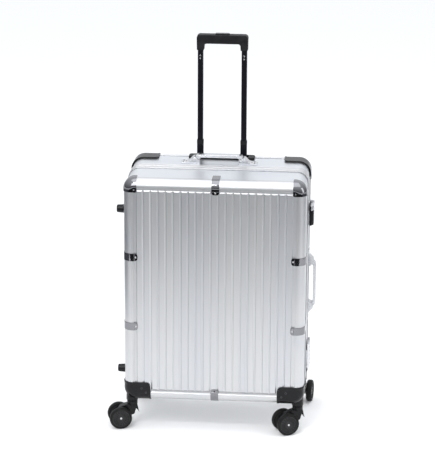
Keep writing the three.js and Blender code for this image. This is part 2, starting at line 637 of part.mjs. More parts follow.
// ---------------------------------------------------------------- the assembly
for (const [half, side] of Object.entries(HALVES)) {
  piece(`${half}_panel`, ribbedPanel(side), MATERIALS.shell);
  piece(`${half}_band`, band(half), MATERIALS.shell);
  edgeLengths(half);
  piece(`${half}_frame_rail`, frameRail(half), MATERIALS.extrusion);
  piece(`hinge_leaf_${half}`, hingeLeaf(half), MATERIALS.extrusion);
  piece(`side_foot_${half}_upper`, sideFoot(side, TOP - UPPER_FOOT_DROP), MATERIALS.rubber);
  piece(`side_foot_${half}_lower`, sideFoot(side, BOTTOM + LOWER_FOOT_RISE), MATERIALS.rubber);
  for (const [place, xSide] of Object.entries(SIDES)) {
    piece(`${half}_guard_bottom_${place}`, cornerGuard(xSide, side, -1), MATERIALS.blackPlastic);
  }
}
piece('front_liner', liner(HALVES.front, deepestFloor()), MATERIALS.lining);
piece('rear_liner', liner(HALVES.rear, BEZEL_FRONT - LINER_BEFORE_WELL), MATERIALS.lining);
for (const [place, side] of Object.entries(SIDES)) {
  piece(`front_corner_cap_${place}`, cornerCap(side), MATERIALS.chrome);
  piece(`rear_guard_top_${place}`, cornerGuard(side, HALVES.rear, 1), MATERIALS.blackPlastic);
}

caster('left', 'front', 15);
caster('right', 'front', 24);
caster('left', 'rear', -84);
caster('right', 'rear', -96);

latch('upper');
latch('lower');

const topPlace = new THREE.Group();
topPlace.position.set(TOP_HANDLE_X, CARRY_Y, TOP - BAND_FACE);
carryHandle('top_handle', { left: -1, right: 1 }, topPlace);
const sidePlace = new THREE.Group();
sidePlace.position.set(RIGHT - BAND_FACE, CARRY_Y, (TOP + BOTTOM) / 2 - SIDE_HANDLE_DROP);
sidePlace.rotation.y = Math.PI / 2;
carryHandle('side_handle', { upper: -1, lower: 1 }, sidePlace);

piece('handle_bezel', bezel(), MATERIALS.blackPlastic);
piece('guide_foot', guideFoot(), MATERIALS.blackPlastic);
for (const [place, side] of Object.entries(SIDES)) {
  const centre = side * TUBE_HALF_SPACING;
  const guideTop = TOP - WELL_DEPTH - WELL_WALL - GAP;
  piece(`guide_tube_${place}`,
    tube(GUIDE_GROW, TUBE_WALL, centre, BOTTOM + GUIDE_TUBE_BOTTOM, guideTop), MATERIALS.blackTube);
  piece(`mid_tube_${place}`,
    tube(MID_GROW, TUBE_WALL, centre, TOP + MID_TUBE_BOTTOM, TOP + MID_TUBE_TOP),
    MATERIALS.blackTube);
  piece(`inner_tube_${place}`,
    tube(0, TUBE_WALL, centre, TOP + INNER_TUBE_BOTTOM, TOP + INNER_TUBE_TOP),
    MATERIALS.blackTube);
}
piece('pull_grip', pullGrip(), MATERIALS.blackPlastic);
piece('grip_button',
  buttonBlock(0, TOP + GRIP_TOP - BUTTON_BODY, TOP + GRIP_TOP + BUTTON_RISE), MATERIALS.blackPlastic);

// The origin is on the floor, under the middle of the whole object's box.
const bounds = new THREE.Box3().setFromObject(suitcase, true);
const centre = bounds.getCenter(new THREE.Vector3());
suitcase.position.set(-Math.round(centre.x * 10) / 10, -Math.round(centre.y * 10) / 10, 0);

export default suitcase;
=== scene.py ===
# %% [markdown]
# # A hard shell suitcase on four swivel casters
#
# The suitcase is two ribbed aluminium halves. Each half is a fluted panel and a plain band,
# held together by polished edge extrusions. Bright caps and black guards cover the corners,
# where straight lengths of extrusion would otherwise show their cut ends.
# The CAD model already settles every size, joint and place. Here each plain solid gets the
# piece that a person would see: softened edges, real fasteners and a finish of its own.
# Lengths are in metres, +Z is up and the front of the case faces -Y.

# %% The frame and its box
import json
import math

import bmesh
import bpy
from mathutils import Matrix, Vector


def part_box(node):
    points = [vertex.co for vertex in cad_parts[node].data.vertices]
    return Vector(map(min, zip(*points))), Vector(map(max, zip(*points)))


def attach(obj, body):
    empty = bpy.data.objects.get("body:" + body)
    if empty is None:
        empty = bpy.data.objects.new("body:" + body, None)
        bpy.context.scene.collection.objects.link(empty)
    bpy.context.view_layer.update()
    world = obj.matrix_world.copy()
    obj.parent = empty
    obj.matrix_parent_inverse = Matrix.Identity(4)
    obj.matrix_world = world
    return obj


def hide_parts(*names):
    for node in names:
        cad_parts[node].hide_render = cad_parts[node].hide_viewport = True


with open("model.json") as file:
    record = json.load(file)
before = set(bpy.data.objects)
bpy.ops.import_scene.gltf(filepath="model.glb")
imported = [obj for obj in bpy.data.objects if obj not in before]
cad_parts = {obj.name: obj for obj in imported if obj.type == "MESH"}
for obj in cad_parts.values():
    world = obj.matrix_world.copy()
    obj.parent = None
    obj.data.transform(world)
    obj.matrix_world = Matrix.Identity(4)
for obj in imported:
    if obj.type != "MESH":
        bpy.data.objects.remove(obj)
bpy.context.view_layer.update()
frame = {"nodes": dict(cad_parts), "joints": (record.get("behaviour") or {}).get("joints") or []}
MM = 0.001

# %% [markdown]
# ## Where the case is
#
# Nearly everything is placed from the outer faces of the case. They are read from the nodes
# that own them, so a change in the CAD model moves the looks with it.

# %% Faces of the case
front_rail_low, front_rail_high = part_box("front_frame_rail")
LEFT, RIGHT = front_rail_low.x, front_rail_high.x
BOTTOM, TOP = front_rail_low.z, front_rail_high.z
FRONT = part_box("front_edge_left")[0].y
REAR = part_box("rear_edge_left")[1].y
MIDDLE_X = (LEFT + RIGHT) / 2
MIDDLE_Z = (BOTTOM + TOP) / 2
RAIL_GAP = 0.15 * MM  # each rail stops this far short of the parting plane
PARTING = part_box("rear_frame_rail")[0].y - RAIL_GAP
EDGE_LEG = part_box("front_edge_left")[1].x - LEFT
CORNER_RADIUS = 30 * MM
BEND_RADIUS = 22 * MM
BAND_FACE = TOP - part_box("front_band")[1].z
HALVES = {"front": -1, "rear": 1}
SIDES = {"left": -1, "right": 1}
print(f"case {RIGHT - LEFT:.3f} x {REAR - FRONT:.3f} x {TOP - BOTTOM:.3f} m, leg {EDGE_LEG:.4f}")


def face_y(half):
    """The outer front or rear face of the case."""
    return FRONT if half == "front" else REAR


def joint_place(name):
    """Where a joint of the CAD model has its pivot."""
    return Vector(next(joint["pos_m"] for joint in frame["joints"] if joint["name"] == name))


# %% [markdown]
# ## Camera
#
# The camera stands a little to the right of the case and well above it, and looks down at
# the front. A long lens keeps the edges nearly parallel, as in a catalogue picture.

# %% Camera
CAMERA_OFFSET = Vector((0.454, -5.601, 2.256))
CAMERA_YAW, CAMERA_PITCH, CAMERA_ROLL = 4.66, 17.38, 0.3
scene = bpy.context.scene
camera = bpy.data.objects.new("camera", bpy.data.cameras.new("camera"))
scene.collection.objects.link(camera)
camera.data.lens = 176.6
camera.data.clip_end = 60
turned = (
    Matrix.Rotation(math.radians(CAMERA_YAW), 4, "Z")
    @ Matrix.Rotation(math.radians(90 - CAMERA_PITCH), 4, "X")
    @ Matrix.Rotation(math.radians(CAMERA_ROLL), 4, "Z")
)
middle_of_case = Vector((MIDDLE_X, PARTING, 0))
camera.matrix_world = Matrix.Translation(middle_of_case + CAMERA_OFFSET) @ turned
scene.camera = camera
scene.view_settings.view_transform = "Standard"
print("camera at", [round(value, 3) for value in camera.location])

# %% [markdown]
# ## Floor and light
#
# The floor is one wide pale sheet, so every view has it behind the object. A broad softbox
# hangs over the case, two more stand in front of it and at its right, and a narrow strip adds
# one thin highlight. Bright metal shows whatever is around it, so a black card and two grey
# ones lie where the polished parts should turn dark. Only reflections see the cards, as with
# the black flags of a studio.

# %% Floor, softboxes and flags
def plain_paint(name, colour, roughness=0.9):
    """A flat finish for things that belong to the studio."""
    paint = bpy.data.materials.new(name)
    paint.use_nodes = True
    shader = paint.node_tree.nodes["Principled BSDF"]
    shader.inputs["Base Color"].default_value = (*colour, 1)
    shader.inputs["Roughness"].default_value = roughness
    shader.inputs["Specular IOR Level"].default_value = 0.1
    return paint


def studio_card(name, centre, size, turn, paint):
    """A flat card of the studio, turned by degrees about X, Y and Z."""
    bpy.ops.object.select_all(action="DESELECT")
    bpy.ops.mesh.primitive_plane_add(size=1, location=centre)
    card = bpy.context.object
    card.name = name
    card.scale = (size[0], size[1], 1)
    card.rotation_euler = [math.radians(angle) for angle in turn]
    card.data.materials.append(paint)
    return card


def reflections_only(card):
    """Hides a card from everything but mirror-like rays."""
    card.visible_camera = card.visible_diffuse = False
    card.visible_shadow = card.visible_transmission = False


print("cards ready")

# %% Softboxes
def softbox(name, place, target, size, watts):
    """A rectangular light that faces a target."""
    lamp = bpy.data.objects.new(name, bpy.data.lights.new(name, "AREA"))
    scene.collection.objects.link(lamp)
    lamp.location = place
    lamp.rotation_euler = (Vector(target) - Vector(place)).to_track_quat("-Z", "Y").to_euler()
    lamp.data.shape = "RECTANGLE"
    lamp.data.size, lamp.data.size_y = size
    lamp.data.energy = watts
    return lamp


print("softboxes ready")

# %% The set
studio_card("floor", (0, 0, 0), (60, 60), (0, 0, 0), plain_paint("floor_paint", (0.95, 0.95, 0.95)))
black_card = plain_paint("black_card_paint", (0.012, 0.012, 0.014))
grey_card = plain_paint("grey_card_paint", (0.12, 0.125, 0.14))
FLAG_START = 1.25
FLAG_SIZE = (5, 2.8)
SIDE_FLAG_SIZE = (2.6, 3.6)
flag_y = FRONT - FLAG_START - FLAG_SIZE[1] / 2
reflections_only(studio_card("floor_flag", (0, flag_y, 0.004), FLAG_SIZE, (0, 0, 0), black_card))
for side, edge, start in ((-1, LEFT, 0.95), (1, RIGHT, 1.5)):
    centre_x = edge + side * (start + SIDE_FLAG_SIZE[0] / 2)
    reflections_only(studio_card("side_flag", (centre_x, FRONT - 0.3, 0.003), SIDE_FLAG_SIZE, (0, 0, 0),
                                 grey_card))
target = (MIDDLE_X, 0, 0.5)
softbox("top_softbox", (0.2, -0.4, 3.0), target, (3.2, 2.6), 30)
softbox("front_softbox", (-1.3, -3.4, 2.6), target, (1.8, 1.8), 34)
softbox("right_softbox", (3.0, -1.0, 1.6), target, (1.2, 2.0), 16)
softbox("strip_softbox", (-0.7, -2.4, 3.2), target, (0.9, 0.25), 26)
bpy.data.objects["top_softbox"].data.use_shadow = False  # so the floor stays pale
print("floor, cards and four softboxes")

# %% Light from all round
def studio_world(horizon, overhead, behind):
    """Light from all round: dim at the horizon, brighter overhead and behind the case."""
    world = bpy.data.worlds.new("studio")
    world.use_nodes = True
    tree = world.node_tree
    background = tree.nodes["Background"]
    background.inputs["Color"].default_value = (0.95, 0.97, 1.0, 1)
    place, path = tree.nodes.new("ShaderNodeTexCoord"), tree.nodes.new("ShaderNodeLightPath")
    split = tree.nodes.new("ShaderNodeSeparateXYZ")
    tree.links.new(place.outputs["Generated"], split.inputs["Vector"])

    def maths(operation, *values):
        step = tree.nodes.new("ShaderNodeMath")
        step.operation = operation
        for socket, value in zip(step.inputs, values):
            if isinstance(value, (int, float)):
                socket.default_value = value
            else:
                tree.links.new(value, socket)
        return step.outputs[0]

    up = maths("MAXIMUM", split.outputs["Z"], 0.0)
    back = maths("MAXIMUM", split.outputs["Y"], 0.0)
    overhead_part = maths("MULTIPLY_ADD", up, overhead, horizon)
    level = maths("MULTIPLY_ADD", maths("POWER", back, 2.0), behind, overhead_part)
    seen = maths("MAXIMUM", level, path.outputs["Is Camera Ray"])
    tree.links.new(seen, background.inputs["Strength"])
    return world


scene.world = studio_world(horizon=0.22, overhead=1.1, behind=0.55)
print("studio set")

# %% [markdown]
# ## Tools of the trade
#
# Three ways of shaping cover most of the metalwork here. An outline drawn point by point and
# pulled straight gives a length of extrusion or a plate. A half profile spun about an axis
# gives feet, wheels and rivets. A rounded ring pulled along Y gives whatever goes right round
# the case. Each is done with the edit mode operators that a person would use by hand.

# %% Drawing, pulling and spinning
AXES = {"X": Vector((1, 0, 0)), "Y": Vector((0, 1, 0)), "Z": Vector((0, 0, 1))}
PLANES = {"XZ": (0, 2, 1), "XY": (0, 1, 2), "YZ": (1, 2, 0)}
FULL_TURN = 2 * math.pi
WELD = 1e-6


def edit_mode(piece):
    """Makes this the one selected object and opens it with nothing selected inside."""
    object_mode()
    bpy.ops.object.select_all(action="DESELECT")
    piece.select_set(True)
    bpy.context.view_layer.objects.active = piece
    bpy.ops.object.mode_set(mode="EDIT")
    bpy.ops.mesh.select_all(action="DESELECT")


def object_mode():
    """Leaves edit mode, if a piece is still open."""
    if bpy.context.object and bpy.context.object.mode != "OBJECT":
        bpy.ops.object.mode_set(mode="OBJECT")


def named(name):
    """Names the primitive that was just added, and applies its place to its mesh."""
    piece = bpy.context.object
    piece.name = piece.data.name = name
    bpy.ops.object.transform_apply(location=True, rotation=True, scale=True)
    return piece


def pick(piece, kind, test):
    """Selects the faces, edges or vertices whose middle (and normal) pass a test."""
    mesh = bmesh.from_edit_mesh(piece.data)
    mesh.normal_update()
    bpy.ops.mesh.select_all(action="DESELECT")
    bpy.context.tool_settings.mesh_select_mode = [kind == k for k in ("VERT", "EDGE", "FACE")]
    count = 0
    for part in {"FACE": mesh.faces, "EDGE": mesh.edges, "VERT": mesh.verts}[kind]:
        if kind == "FACE":
            chosen = test(part.calc_center_median(), part.normal)
        elif kind == "EDGE":
            a, b = (vertex.co for vertex in part.verts)
            chosen = test((a + b) / 2, (b - a).normalized())
        else:
            chosen = test(part.co, part.normal)
        if chosen:
            part.select = True
            count += 1
    mesh.select_flush_mode()
    bmesh.update_edit_mesh(piece.data)
    return count


def tidy_solid(weld=WELD):
    """Merges doubled vertices and turns every face outwards, in edit mode."""
    bpy.ops.mesh.select_all(action="SELECT")
    bpy.ops.mesh.remove_doubles(threshold=weld)
    bpy.ops.mesh.normals_make_consistent(inside=False)
    bpy.ops.object.mode_set(mode="OBJECT")


print("edit mode helpers ready")

# %% Outlines, prisms and spun shapes
def trace(name, points):
    """Draws a line through the points by extruding one vertex after another."""
    object_mode()
    bpy.ops.object.select_all(action="DESELECT")
    bpy.ops.mesh.primitive_plane_add(size=MM)
    piece = named(name)
    bpy.ops.object.mode_set(mode="EDIT")
    bpy.context.tool_settings.mesh_select_mode = (True, False, False)
    bpy.ops.mesh.select_all(action="SELECT")
    bpy.ops.mesh.merge(type="CENTER")
    bpy.ops.transform.translate(value=points[0])
    for here, there in zip(points, points[1:]):
        step = Vector(there) - Vector(here)
        bpy.ops.mesh.extrude_vertices_move(TRANSFORM_OT_translate={"value": step})
    return piece


def on_plane(plane, u, v, w):
    """The point at u and v on a plane, and at w away from it."""
    point = [0.0, 0.0, 0.0]
    for axis, value in zip(PLANES[plane], (u, v, w)):
        point[axis] = value
    return Vector(point)


def prism(name, plane, outline, start, end):
    """Draws a flat outline and pulls it straight from start to end."""
    piece = trace(name, [on_plane(plane, u, v, start) for u, v in outline])
    bpy.ops.mesh.select_all(action="SELECT")
    bpy.ops.mesh.edge_face_add()
    pull = on_plane(plane, 0, 0, end - start)
    bpy.ops.mesh.extrude_region_move(TRANSFORM_OT_translate={"value": pull})
    tidy_solid()
    return piece


def lathe(name, profile, centre, axis="Z", steps=36):
    """Spins a half profile of (radius, height) points about an axis through centre."""
    along, centre = AXES[axis], Vector(centre)
    out = AXES["X" if axis != "X" else "Z"]
    piece = trace(name, [centre + along * height + out * radius for radius, height in profile])
    bpy.ops.mesh.select_all(action="SELECT")
    bpy.ops.mesh.spin(steps=steps, angle=FULL_TURN, center=centre, axis=along)
    tidy_solid()
    return piece


def arc(centre, radius, start, end, steps=8):
    """Points of a round stretch of an outline; angles are in degrees."""
    angles = [math.radians(start + (end - start) * i / steps) for i in range(steps + 1)]
    return [(centre[0] + radius * math.cos(a), centre[1] + radius * math.sin(a)) for a in angles]


print("prism and lathe ready")

# %% Round corners, blocks and sheets
def rounded_outline(low, high, radius, steps=6):
    """A rectangle with round corners, between its low and high corners."""
    (u0, v0), (u1, v1) = low, high
    return (
        arc((u1 - radius, v0 + radius), radius, -90, 0, steps)
        + arc((u1 - radius, v1 - radius), radius, 0, 90, steps)
        + arc((u0 + radius, v1 - radius), radius, 90, 180, steps)
        + arc((u0 + radius, v0 + radius), radius, 180, 270, steps)
    )


def box_piece(name, low, high):
    """A block between two corners, added as a cube."""
    object_mode()
    bpy.ops.object.select_all(action="DESELECT")
    low, high = Vector(low), Vector(high)
    bpy.ops.mesh.primitive_cube_add(size=1, location=(low + high) / 2)
    bpy.context.object.scale = high - low
    return named(name)


def upright_sheet(name, centre, width, height):
    """A flat sheet that faces the front, added as a plane."""
    object_mode()
    bpy.ops.object.select_all(action="DESELECT")
    bpy.ops.mesh.primitive_plane_add(size=1, location=centre, rotation=(math.pi / 2, 0, 0))
    bpy.context.object.scale = (width, height, 1)
    return named(name)


print("outline helpers ready")

# %% Modifiers, copies and the last touches
def modifier(piece, kind, **settings):
    """Adds a modifier, sets it and applies it."""
    object_mode()
    bpy.ops.object.select_all(action="DESELECT")
    piece.select_set(True)
    bpy.context.view_layer.objects.active = piece
    made = piece.modifiers.new(kind.lower(), kind)
    for key, value in settings.items():
        setattr(made, key, value)
    bpy.ops.object.modifier_apply(modifier=made.name)


def soften(piece, width, segments=2, angle=32):
    """Breaks the sharp edges of a piece."""
    modifier(piece, "BEVEL", width=width, segments=segments, limit_method="ANGLE",
             angle_limit=math.radians(angle), use_clamp_overlap=True)
    return piece


def hollow(piece, tool):
    """Cuts another piece out of this one, and removes the tool."""
    modifier(piece, "BOOLEAN", operation="DIFFERENCE", object=tool, solver="EXACT")
    bpy.data.objects.remove(tool)
    return piece


def joined(name, pieces):
    """Makes one piece of several that move and are finished together."""
    object_mode()
    bpy.ops.object.select_all(action="DESELECT")
    for piece in pieces:
        piece.select_set(True)
    bpy.context.view_layer.objects.active = pieces[0]
    if len(pieces) > 1:
        bpy.ops.object.join()
    pieces[0].name = pieces[0].data.name = name
    return pieces[0]


def copied(piece, name, place=(0, 0, 0), turn=(0, 0, 0), mirror="", about=(0, 0, 0)):
    """A copy with its own mesh: mirrored along each named axis, turned about a point, moved."""
    object_mode()
    bpy.ops.object.select_all(action="DESELECT")
    piece.select_set(True)
    bpy.context.view_layer.objects.active = piece
    bpy.ops.object.duplicate(linked=False)
    made = bpy.context.object
    made.name = made.data.name = name
    about = Vector(about)
    spun = Matrix.Identity(4)
    for axis, angle in zip("XYZ", turn):
        spun = Matrix.Rotation(math.radians(angle), 4, axis) @ spun
    flip = Matrix.Identity(4)
    for axis in mirror:
        flip = Matrix.Scale(-1, 4, AXES[axis]) @ flip
    made.matrix_world = (
        Matrix.Translation(Vector(place) + about) @ spun @ flip @ Matrix.Translation(-about)
    )
    bpy.ops.object.transform_apply(location=True, rotation=True, scale=True)
    if mirror:
        edit_mode(made)
        tidy_solid()
    return made


print("modifiers and copies ready")

# %% The last touch
def dress(piece, body, finish, replaces=(), angle=35):
    """Smooths a finished piece, gives it its finish and lets it ride on its body.

    Weighted normals keep the broad faces flat, so only the softened edges shade as curves."""
    object_mode()
    bpy.ops.object.select_all(action="DESELECT")
    piece.select_set(True)
    bpy.context.view_layer.objects.active = piece
    bpy.ops.object.shade_smooth_by_angle(angle=math.radians(angle))
    modifier(piece, "WEIGHTED_NORMAL", keep_sharp=True)
    piece.data.materials.clear()
    piece.data.materials.append(finish)
    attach(piece, body)
    if replaces:
        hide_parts(*replaces)
    return piece


print("tools ready")

# %% [markdown]
# ## Finishes
#
# A metal or plastic looks real when its shine varies a little. Each finish starts from one
# Principled shader. Noise stretched along the grain then varies its roughness and tilts the
# surface a little, and a second, broad noise shifts its colour. All patterns read Object
# coordinates, so they stay in place on the piece when it moves.

# %% A finish and its grain
def finish(name, colour, roughness, metallic=0.0, **inputs):
    """A new material; further inputs of its shader are named with underscores."""
    made = bpy.data.materials.new(name)
    made.use_nodes = True
    shader = made.node_tree.nodes["Principled BSDF"]
    shader.inputs["Base Color"].default_value = (*colour, 1)
    shader.inputs["Roughness"].default_value = roughness
    shader.inputs["Metallic"].default_value = metallic
    for key, value in inputs.items():
        shader.inputs[key.replace("_", " ")].default_value = value
    return made


def add_node(made, kind, **settings):
    """A new node; each setting is one of its inputs, or else one of its properties."""
    new = made.node_tree.nodes.new(kind)
    for key, value in settings.items():
        if key in new.inputs:
            new.inputs[key].default_value = value
        else:
            setattr(new, key, value)
    return new


def join_nodes(made, source, target):
    made.node_tree.links.new(source, target)


print("shader helpers ready")

# %% Patterns
def object_noise(made, stretch, detail=3.0):
    """Noise in Object coordinates, with its own scale along each axis."""
    place = add_node(made, "ShaderNodeTexCoord")
    mapping = add_node(made, "ShaderNodeMapping")
    mapping.inputs["Scale"].default_value = stretch
    noise = add_node(made, "ShaderNodeTexNoise", Scale=1.0, Detail=detail)
    join_nodes(made, place.outputs["Object"], mapping.inputs["Vector"])
    join_nodes(made, mapping.outputs["Vector"], noise.inputs["Vector"])
    return noise.outputs["Fac"]


def shader_of(made):
    return made.node_tree.nodes["Principled BSDF"]


def vary_roughness(made, source, low, high):
    """Lets a pattern move the roughness between two values."""
    spread = add_node(made, "ShaderNodeMapRange")
    spread.inputs["From Min"].default_value, spread.inputs["From Max"].default_value = 0.3, 0.7
    spread.inputs["To Min"].default_value, spread.inputs["To Max"].default_value = low, high
    join_nodes(made, source, spread.inputs["Value"])
    join_nodes(made, spread.outputs["Result"], shader_of(made).inputs["Roughness"])


def vary_colour(made, source, dark, light):
    """Lets a pattern move the colour between two values."""
    mix = add_node(made, "ShaderNodeMix", data_type="RGBA")
    mix_colours = [socket for socket in mix.inputs if socket.type == "RGBA"]
    mix_colours[0].default_value, mix_colours[1].default_value = (*dark, 1), (*light, 1)
    spread = add_node(made, "ShaderNodeMapRange")
    spread.inputs["From Min"].default_value, spread.inputs["From Max"].default_value = 0.35, 0.65
    join_nodes(made, source, spread.inputs["Value"])
    join_nodes(made, spread.outputs["Result"], mix.inputs["Factor"])
    result = next(socket for socket in mix.outputs if socket.type == "RGBA")
    join_nodes(made, result, shader_of(made).inputs["Base Color"])


def tilt_surface(made, source, strength, distance):
    """Lets a pattern raise and lower the surface a little."""
    bump = add_node(made, "ShaderNodeBump", Strength=strength, Distance=distance)
    join_nodes(made, source, bump.inputs["Height"])
    join_nodes(made, bump.outputs["Normal"], shader_of(made).inputs["Normal"])


print("pattern helpers ready")

# %% Metals
FINE, LONG = 1400, 9
fluted = finish("brushed_fluted_sheet", (0.60, 0.61, 0.63), 0.36, 1.0)
brushed_upright = object_noise(fluted, (FINE, FINE, LONG))
vary_roughness(fluted, brushed_upright, 0.33, 0.44)
vary_colour(fluted, object_noise(fluted, (26, 1, 0.7), 2.0), (0.585, 0.595, 0.62), (0.62, 0.623, 0.63))
tilt_surface(fluted, brushed_upright, 0.25, 0.03 * MM)

plain_sheet = finish("satin_band_sheet", (0.74, 0.76, 0.79), 0.40, 1.0)
brushed_along = object_noise(plain_sheet, (LONG * 3, FINE, LONG * 3))
vary_roughness(plain_sheet, brushed_along, 0.36, 0.46)
vary_colour(plain_sheet, object_noise(plain_sheet, (6, 6, 6), 2.0), (0.69, 0.71, 0.745), (0.73, 0.745, 0.765))
tilt_surface(plain_sheet, brushed_along, 0.15, 0.03 * MM)

polished = finish("polished_extrusion", (0.65, 0.655, 0.67), 0.36, 1.0)
drawn_lines = object_noise(polished, (FINE, FINE, FINE))
vary_roughness(polished, drawn_lines, 0.31, 0.42)
vary_colour(polished, object_noise(polished, (9, 9, 9), 3.0), (0.575, 0.585, 0.605), (0.615, 0.615, 0.62))

# Painted reflection: the chrome's base colour is set far darker than real chrome, so the caps and clips look
# as if they reflect a dark room.
chrome = finish("chrome_darkened_as_painted_reflection", (0.23, 0.23, 0.245), 0.05, 1.0)
vary_roughness(chrome, object_noise(chrome, (120, 120, 120), 4.0), 0.03, 0.10)
tilt_surface(chrome, object_noise(chrome, (160, 160, 160), 2.0), 0.3, 0.12 * MM)

satin = finish("satin_silver_casting", (0.66, 0.665, 0.685), 0.26, 1.0)
vary_roughness(satin, object_noise(satin, (700, 700, 700), 3.0), 0.22, 0.36)
tilt_surface(satin, object_noise(satin, (900, 900, 900), 2.0), 0.12, 0.03 * MM)

steel = finish("bare_steel", (0.62, 0.62, 0.63), 0.25, 1.0)
vary_roughness(steel, object_noise(steel, (500, 500, 500), 3.0), 0.18, 0.38)

dark_steel = finish("blackened_fastener", (0.05, 0.05, 0.055), 0.35, 0.8)
vary_roughness(dark_steel, object_noise(dark_steel, (600, 600, 600), 2.0), 0.25, 0.5)
METALS = (fluted, plain_sheet, polished, chrome, satin, steel, dark_steel)
print("metals:", ", ".join(metal.name for metal in METALS))

# %% Plastics, rubber and cloth
black_plastic = finish("grained_black_plastic", (0.012, 0.012, 0.013), 0.46, Specular_IOR_Level=0.15)
grained = object_noise(black_plastic, (1500, 1500, 1500), 4.0)
vary_roughness(black_plastic, grained, 0.38, 0.56)
vary_colour(black_plastic, object_noise(black_plastic, (40, 40, 40), 3.0), (0.009, 0.009, 0.010),
            (0.016, 0.016, 0.017))
tilt_surface(black_plastic, grained, 0.5, 0.08 * MM)

gloss_black = finish("moulded_gloss_black", (0.008, 0.008, 0.009), 0.22, Specular_IOR_Level=0.2)
vary_roughness(gloss_black, object_noise(gloss_black, (90, 90, 90), 4.0), 0.10, 0.26)
tilt_surface(gloss_black, object_noise(gloss_black, (400, 400, 400), 2.0), 0.1, 0.05 * MM)

tube_black = finish("black_anodised_tube", (0.010, 0.010, 0.014), 0.32, 0.5, Specular_IOR_Level=0.12)
tube_grain = object_noise(tube_black, (FINE, FINE, LONG))
vary_roughness(tube_black, tube_grain, 0.26, 0.42)
tilt_surface(tube_black, tube_grain, 0.2, 0.03 * MM)

tyre = finish("soft_tyre", (0.014, 0.014, 0.015), 0.55, Specular_IOR_Level=0.15)
vary_roughness(tyre, object_noise(tyre, (300, 300, 300), 4.0), 0.45, 0.7)
vary_colour(tyre, object_noise(tyre, (60, 60, 60), 3.0), (0.007, 0.007, 0.008), (0.015, 0.015, 0.014))
tilt_surface(tyre, object_noise(tyre, (900, 900, 900), 3.0), 0.4, 0.1 * MM)

wheel_disc = finish("grey_black_wheel_disc", (0.024, 0.024, 0.025), 0.36, Specular_IOR_Level=0.25)
vary_roughness(wheel_disc, object_noise(wheel_disc, (800, 800, 800), 3.0), 0.34, 0.52)
tilt_surface(wheel_disc, object_noise(wheel_disc, (1200, 1200, 1200), 3.0), 0.3, 0.06 * MM)


print("plastics and tyres ready")

# %% Cloth
def woven(name, dark, light, pitch, relief):
    """A plain weave: two sets of threads as crossed sine waves, finer than the eye counts."""
    cloth = finish(name, light, 0.88, Sheen_Weight=0.25, Sheen_Roughness=0.4)
    place = add_node(cloth, "ShaderNodeTexCoord")
    split = add_node(cloth, "ShaderNodeSeparateXYZ")
    join_nodes(cloth, place.outputs["Object"], split.inputs["Vector"])
    waves = []
    for along in ("X", "Y", "Z"):
        scaled = add_node(cloth, "ShaderNodeMath", operation="MULTIPLY")
        scaled.inputs[1].default_value = FULL_TURN / pitch
        wave = add_node(cloth, "ShaderNodeMath", operation="SINE")
        join_nodes(cloth, split.outputs[along], scaled.inputs[0])
        join_nodes(cloth, scaled.outputs[0], wave.inputs[0])
        waves.append(wave.outputs[0])
    crossed = add_node(cloth, "ShaderNodeMath", operation="ADD")
    all_three = add_node(cloth, "ShaderNodeMath", operation="ADD")
    join_nodes(cloth, waves[0], crossed.inputs[0])
    join_nodes(cloth, waves[1], crossed.inputs[1])
    join_nodes(cloth, crossed.outputs[0], all_three.inputs[0])
    join_nodes(cloth, waves[2], all_three.inputs[1])
    level = add_node(cloth, "ShaderNodeMath", operation="MULTIPLY_ADD")
    level.inputs[1].default_value, level.inputs[2].default_value = 0.12, 0.5
    join_nodes(cloth, all_three.outputs[0], level.inputs[0])
    mottled = add_node(cloth, "ShaderNodeMath", operation="ADD")
    broad = add_node(cloth, "ShaderNodeMath", operation="MULTIPLY_ADD")
    broad.inputs[1].default_value, broad.inputs[2].default_value = 0.3, -0.15
    join_nodes(cloth, object_noise(cloth, (30, 30, 30), 4.0), broad.inputs[0])
    join_nodes(cloth, level.outputs[0], mottled.inputs[0])
    join_nodes(cloth, broad.outputs[0], mottled.inputs[1])
    vary_colour(cloth, mottled.outputs[0], dark, light)
    tilt_surface(cloth, level.outputs[0], relief, 0.3 * MM)
    return cloth


lining_cloth = woven("charcoal_lining_cloth", (0.075, 0.078, 0.085), (0.135, 0.14, 0.15), 1.6 * MM, 0.5)
print("finishes made:", len(bpy.data.materials))

# %% [markdown]
# ## Fluted panels
#
# The front and the rear of the case are thin sheets pressed into upright flutes. A press
# makes all of them alike, so one tile is modelled, with its flute inset and raised, and an
# array repeats it. The flute's shoulders are rounded before the repeat, and the sheet gets
# its thickness last.

# %% One flute, then all of them
FLUTE_PITCH, FLUTE_FOOT, FLUTE_CREST, FLUTE_RISE = 18.9 * MM, 16.4 * MM, 13.6 * MM, 1.9 * MM
FLUTES = math.floor((RIGHT - LEFT - 2 * EDGE_LEG) / FLUTE_PITCH)


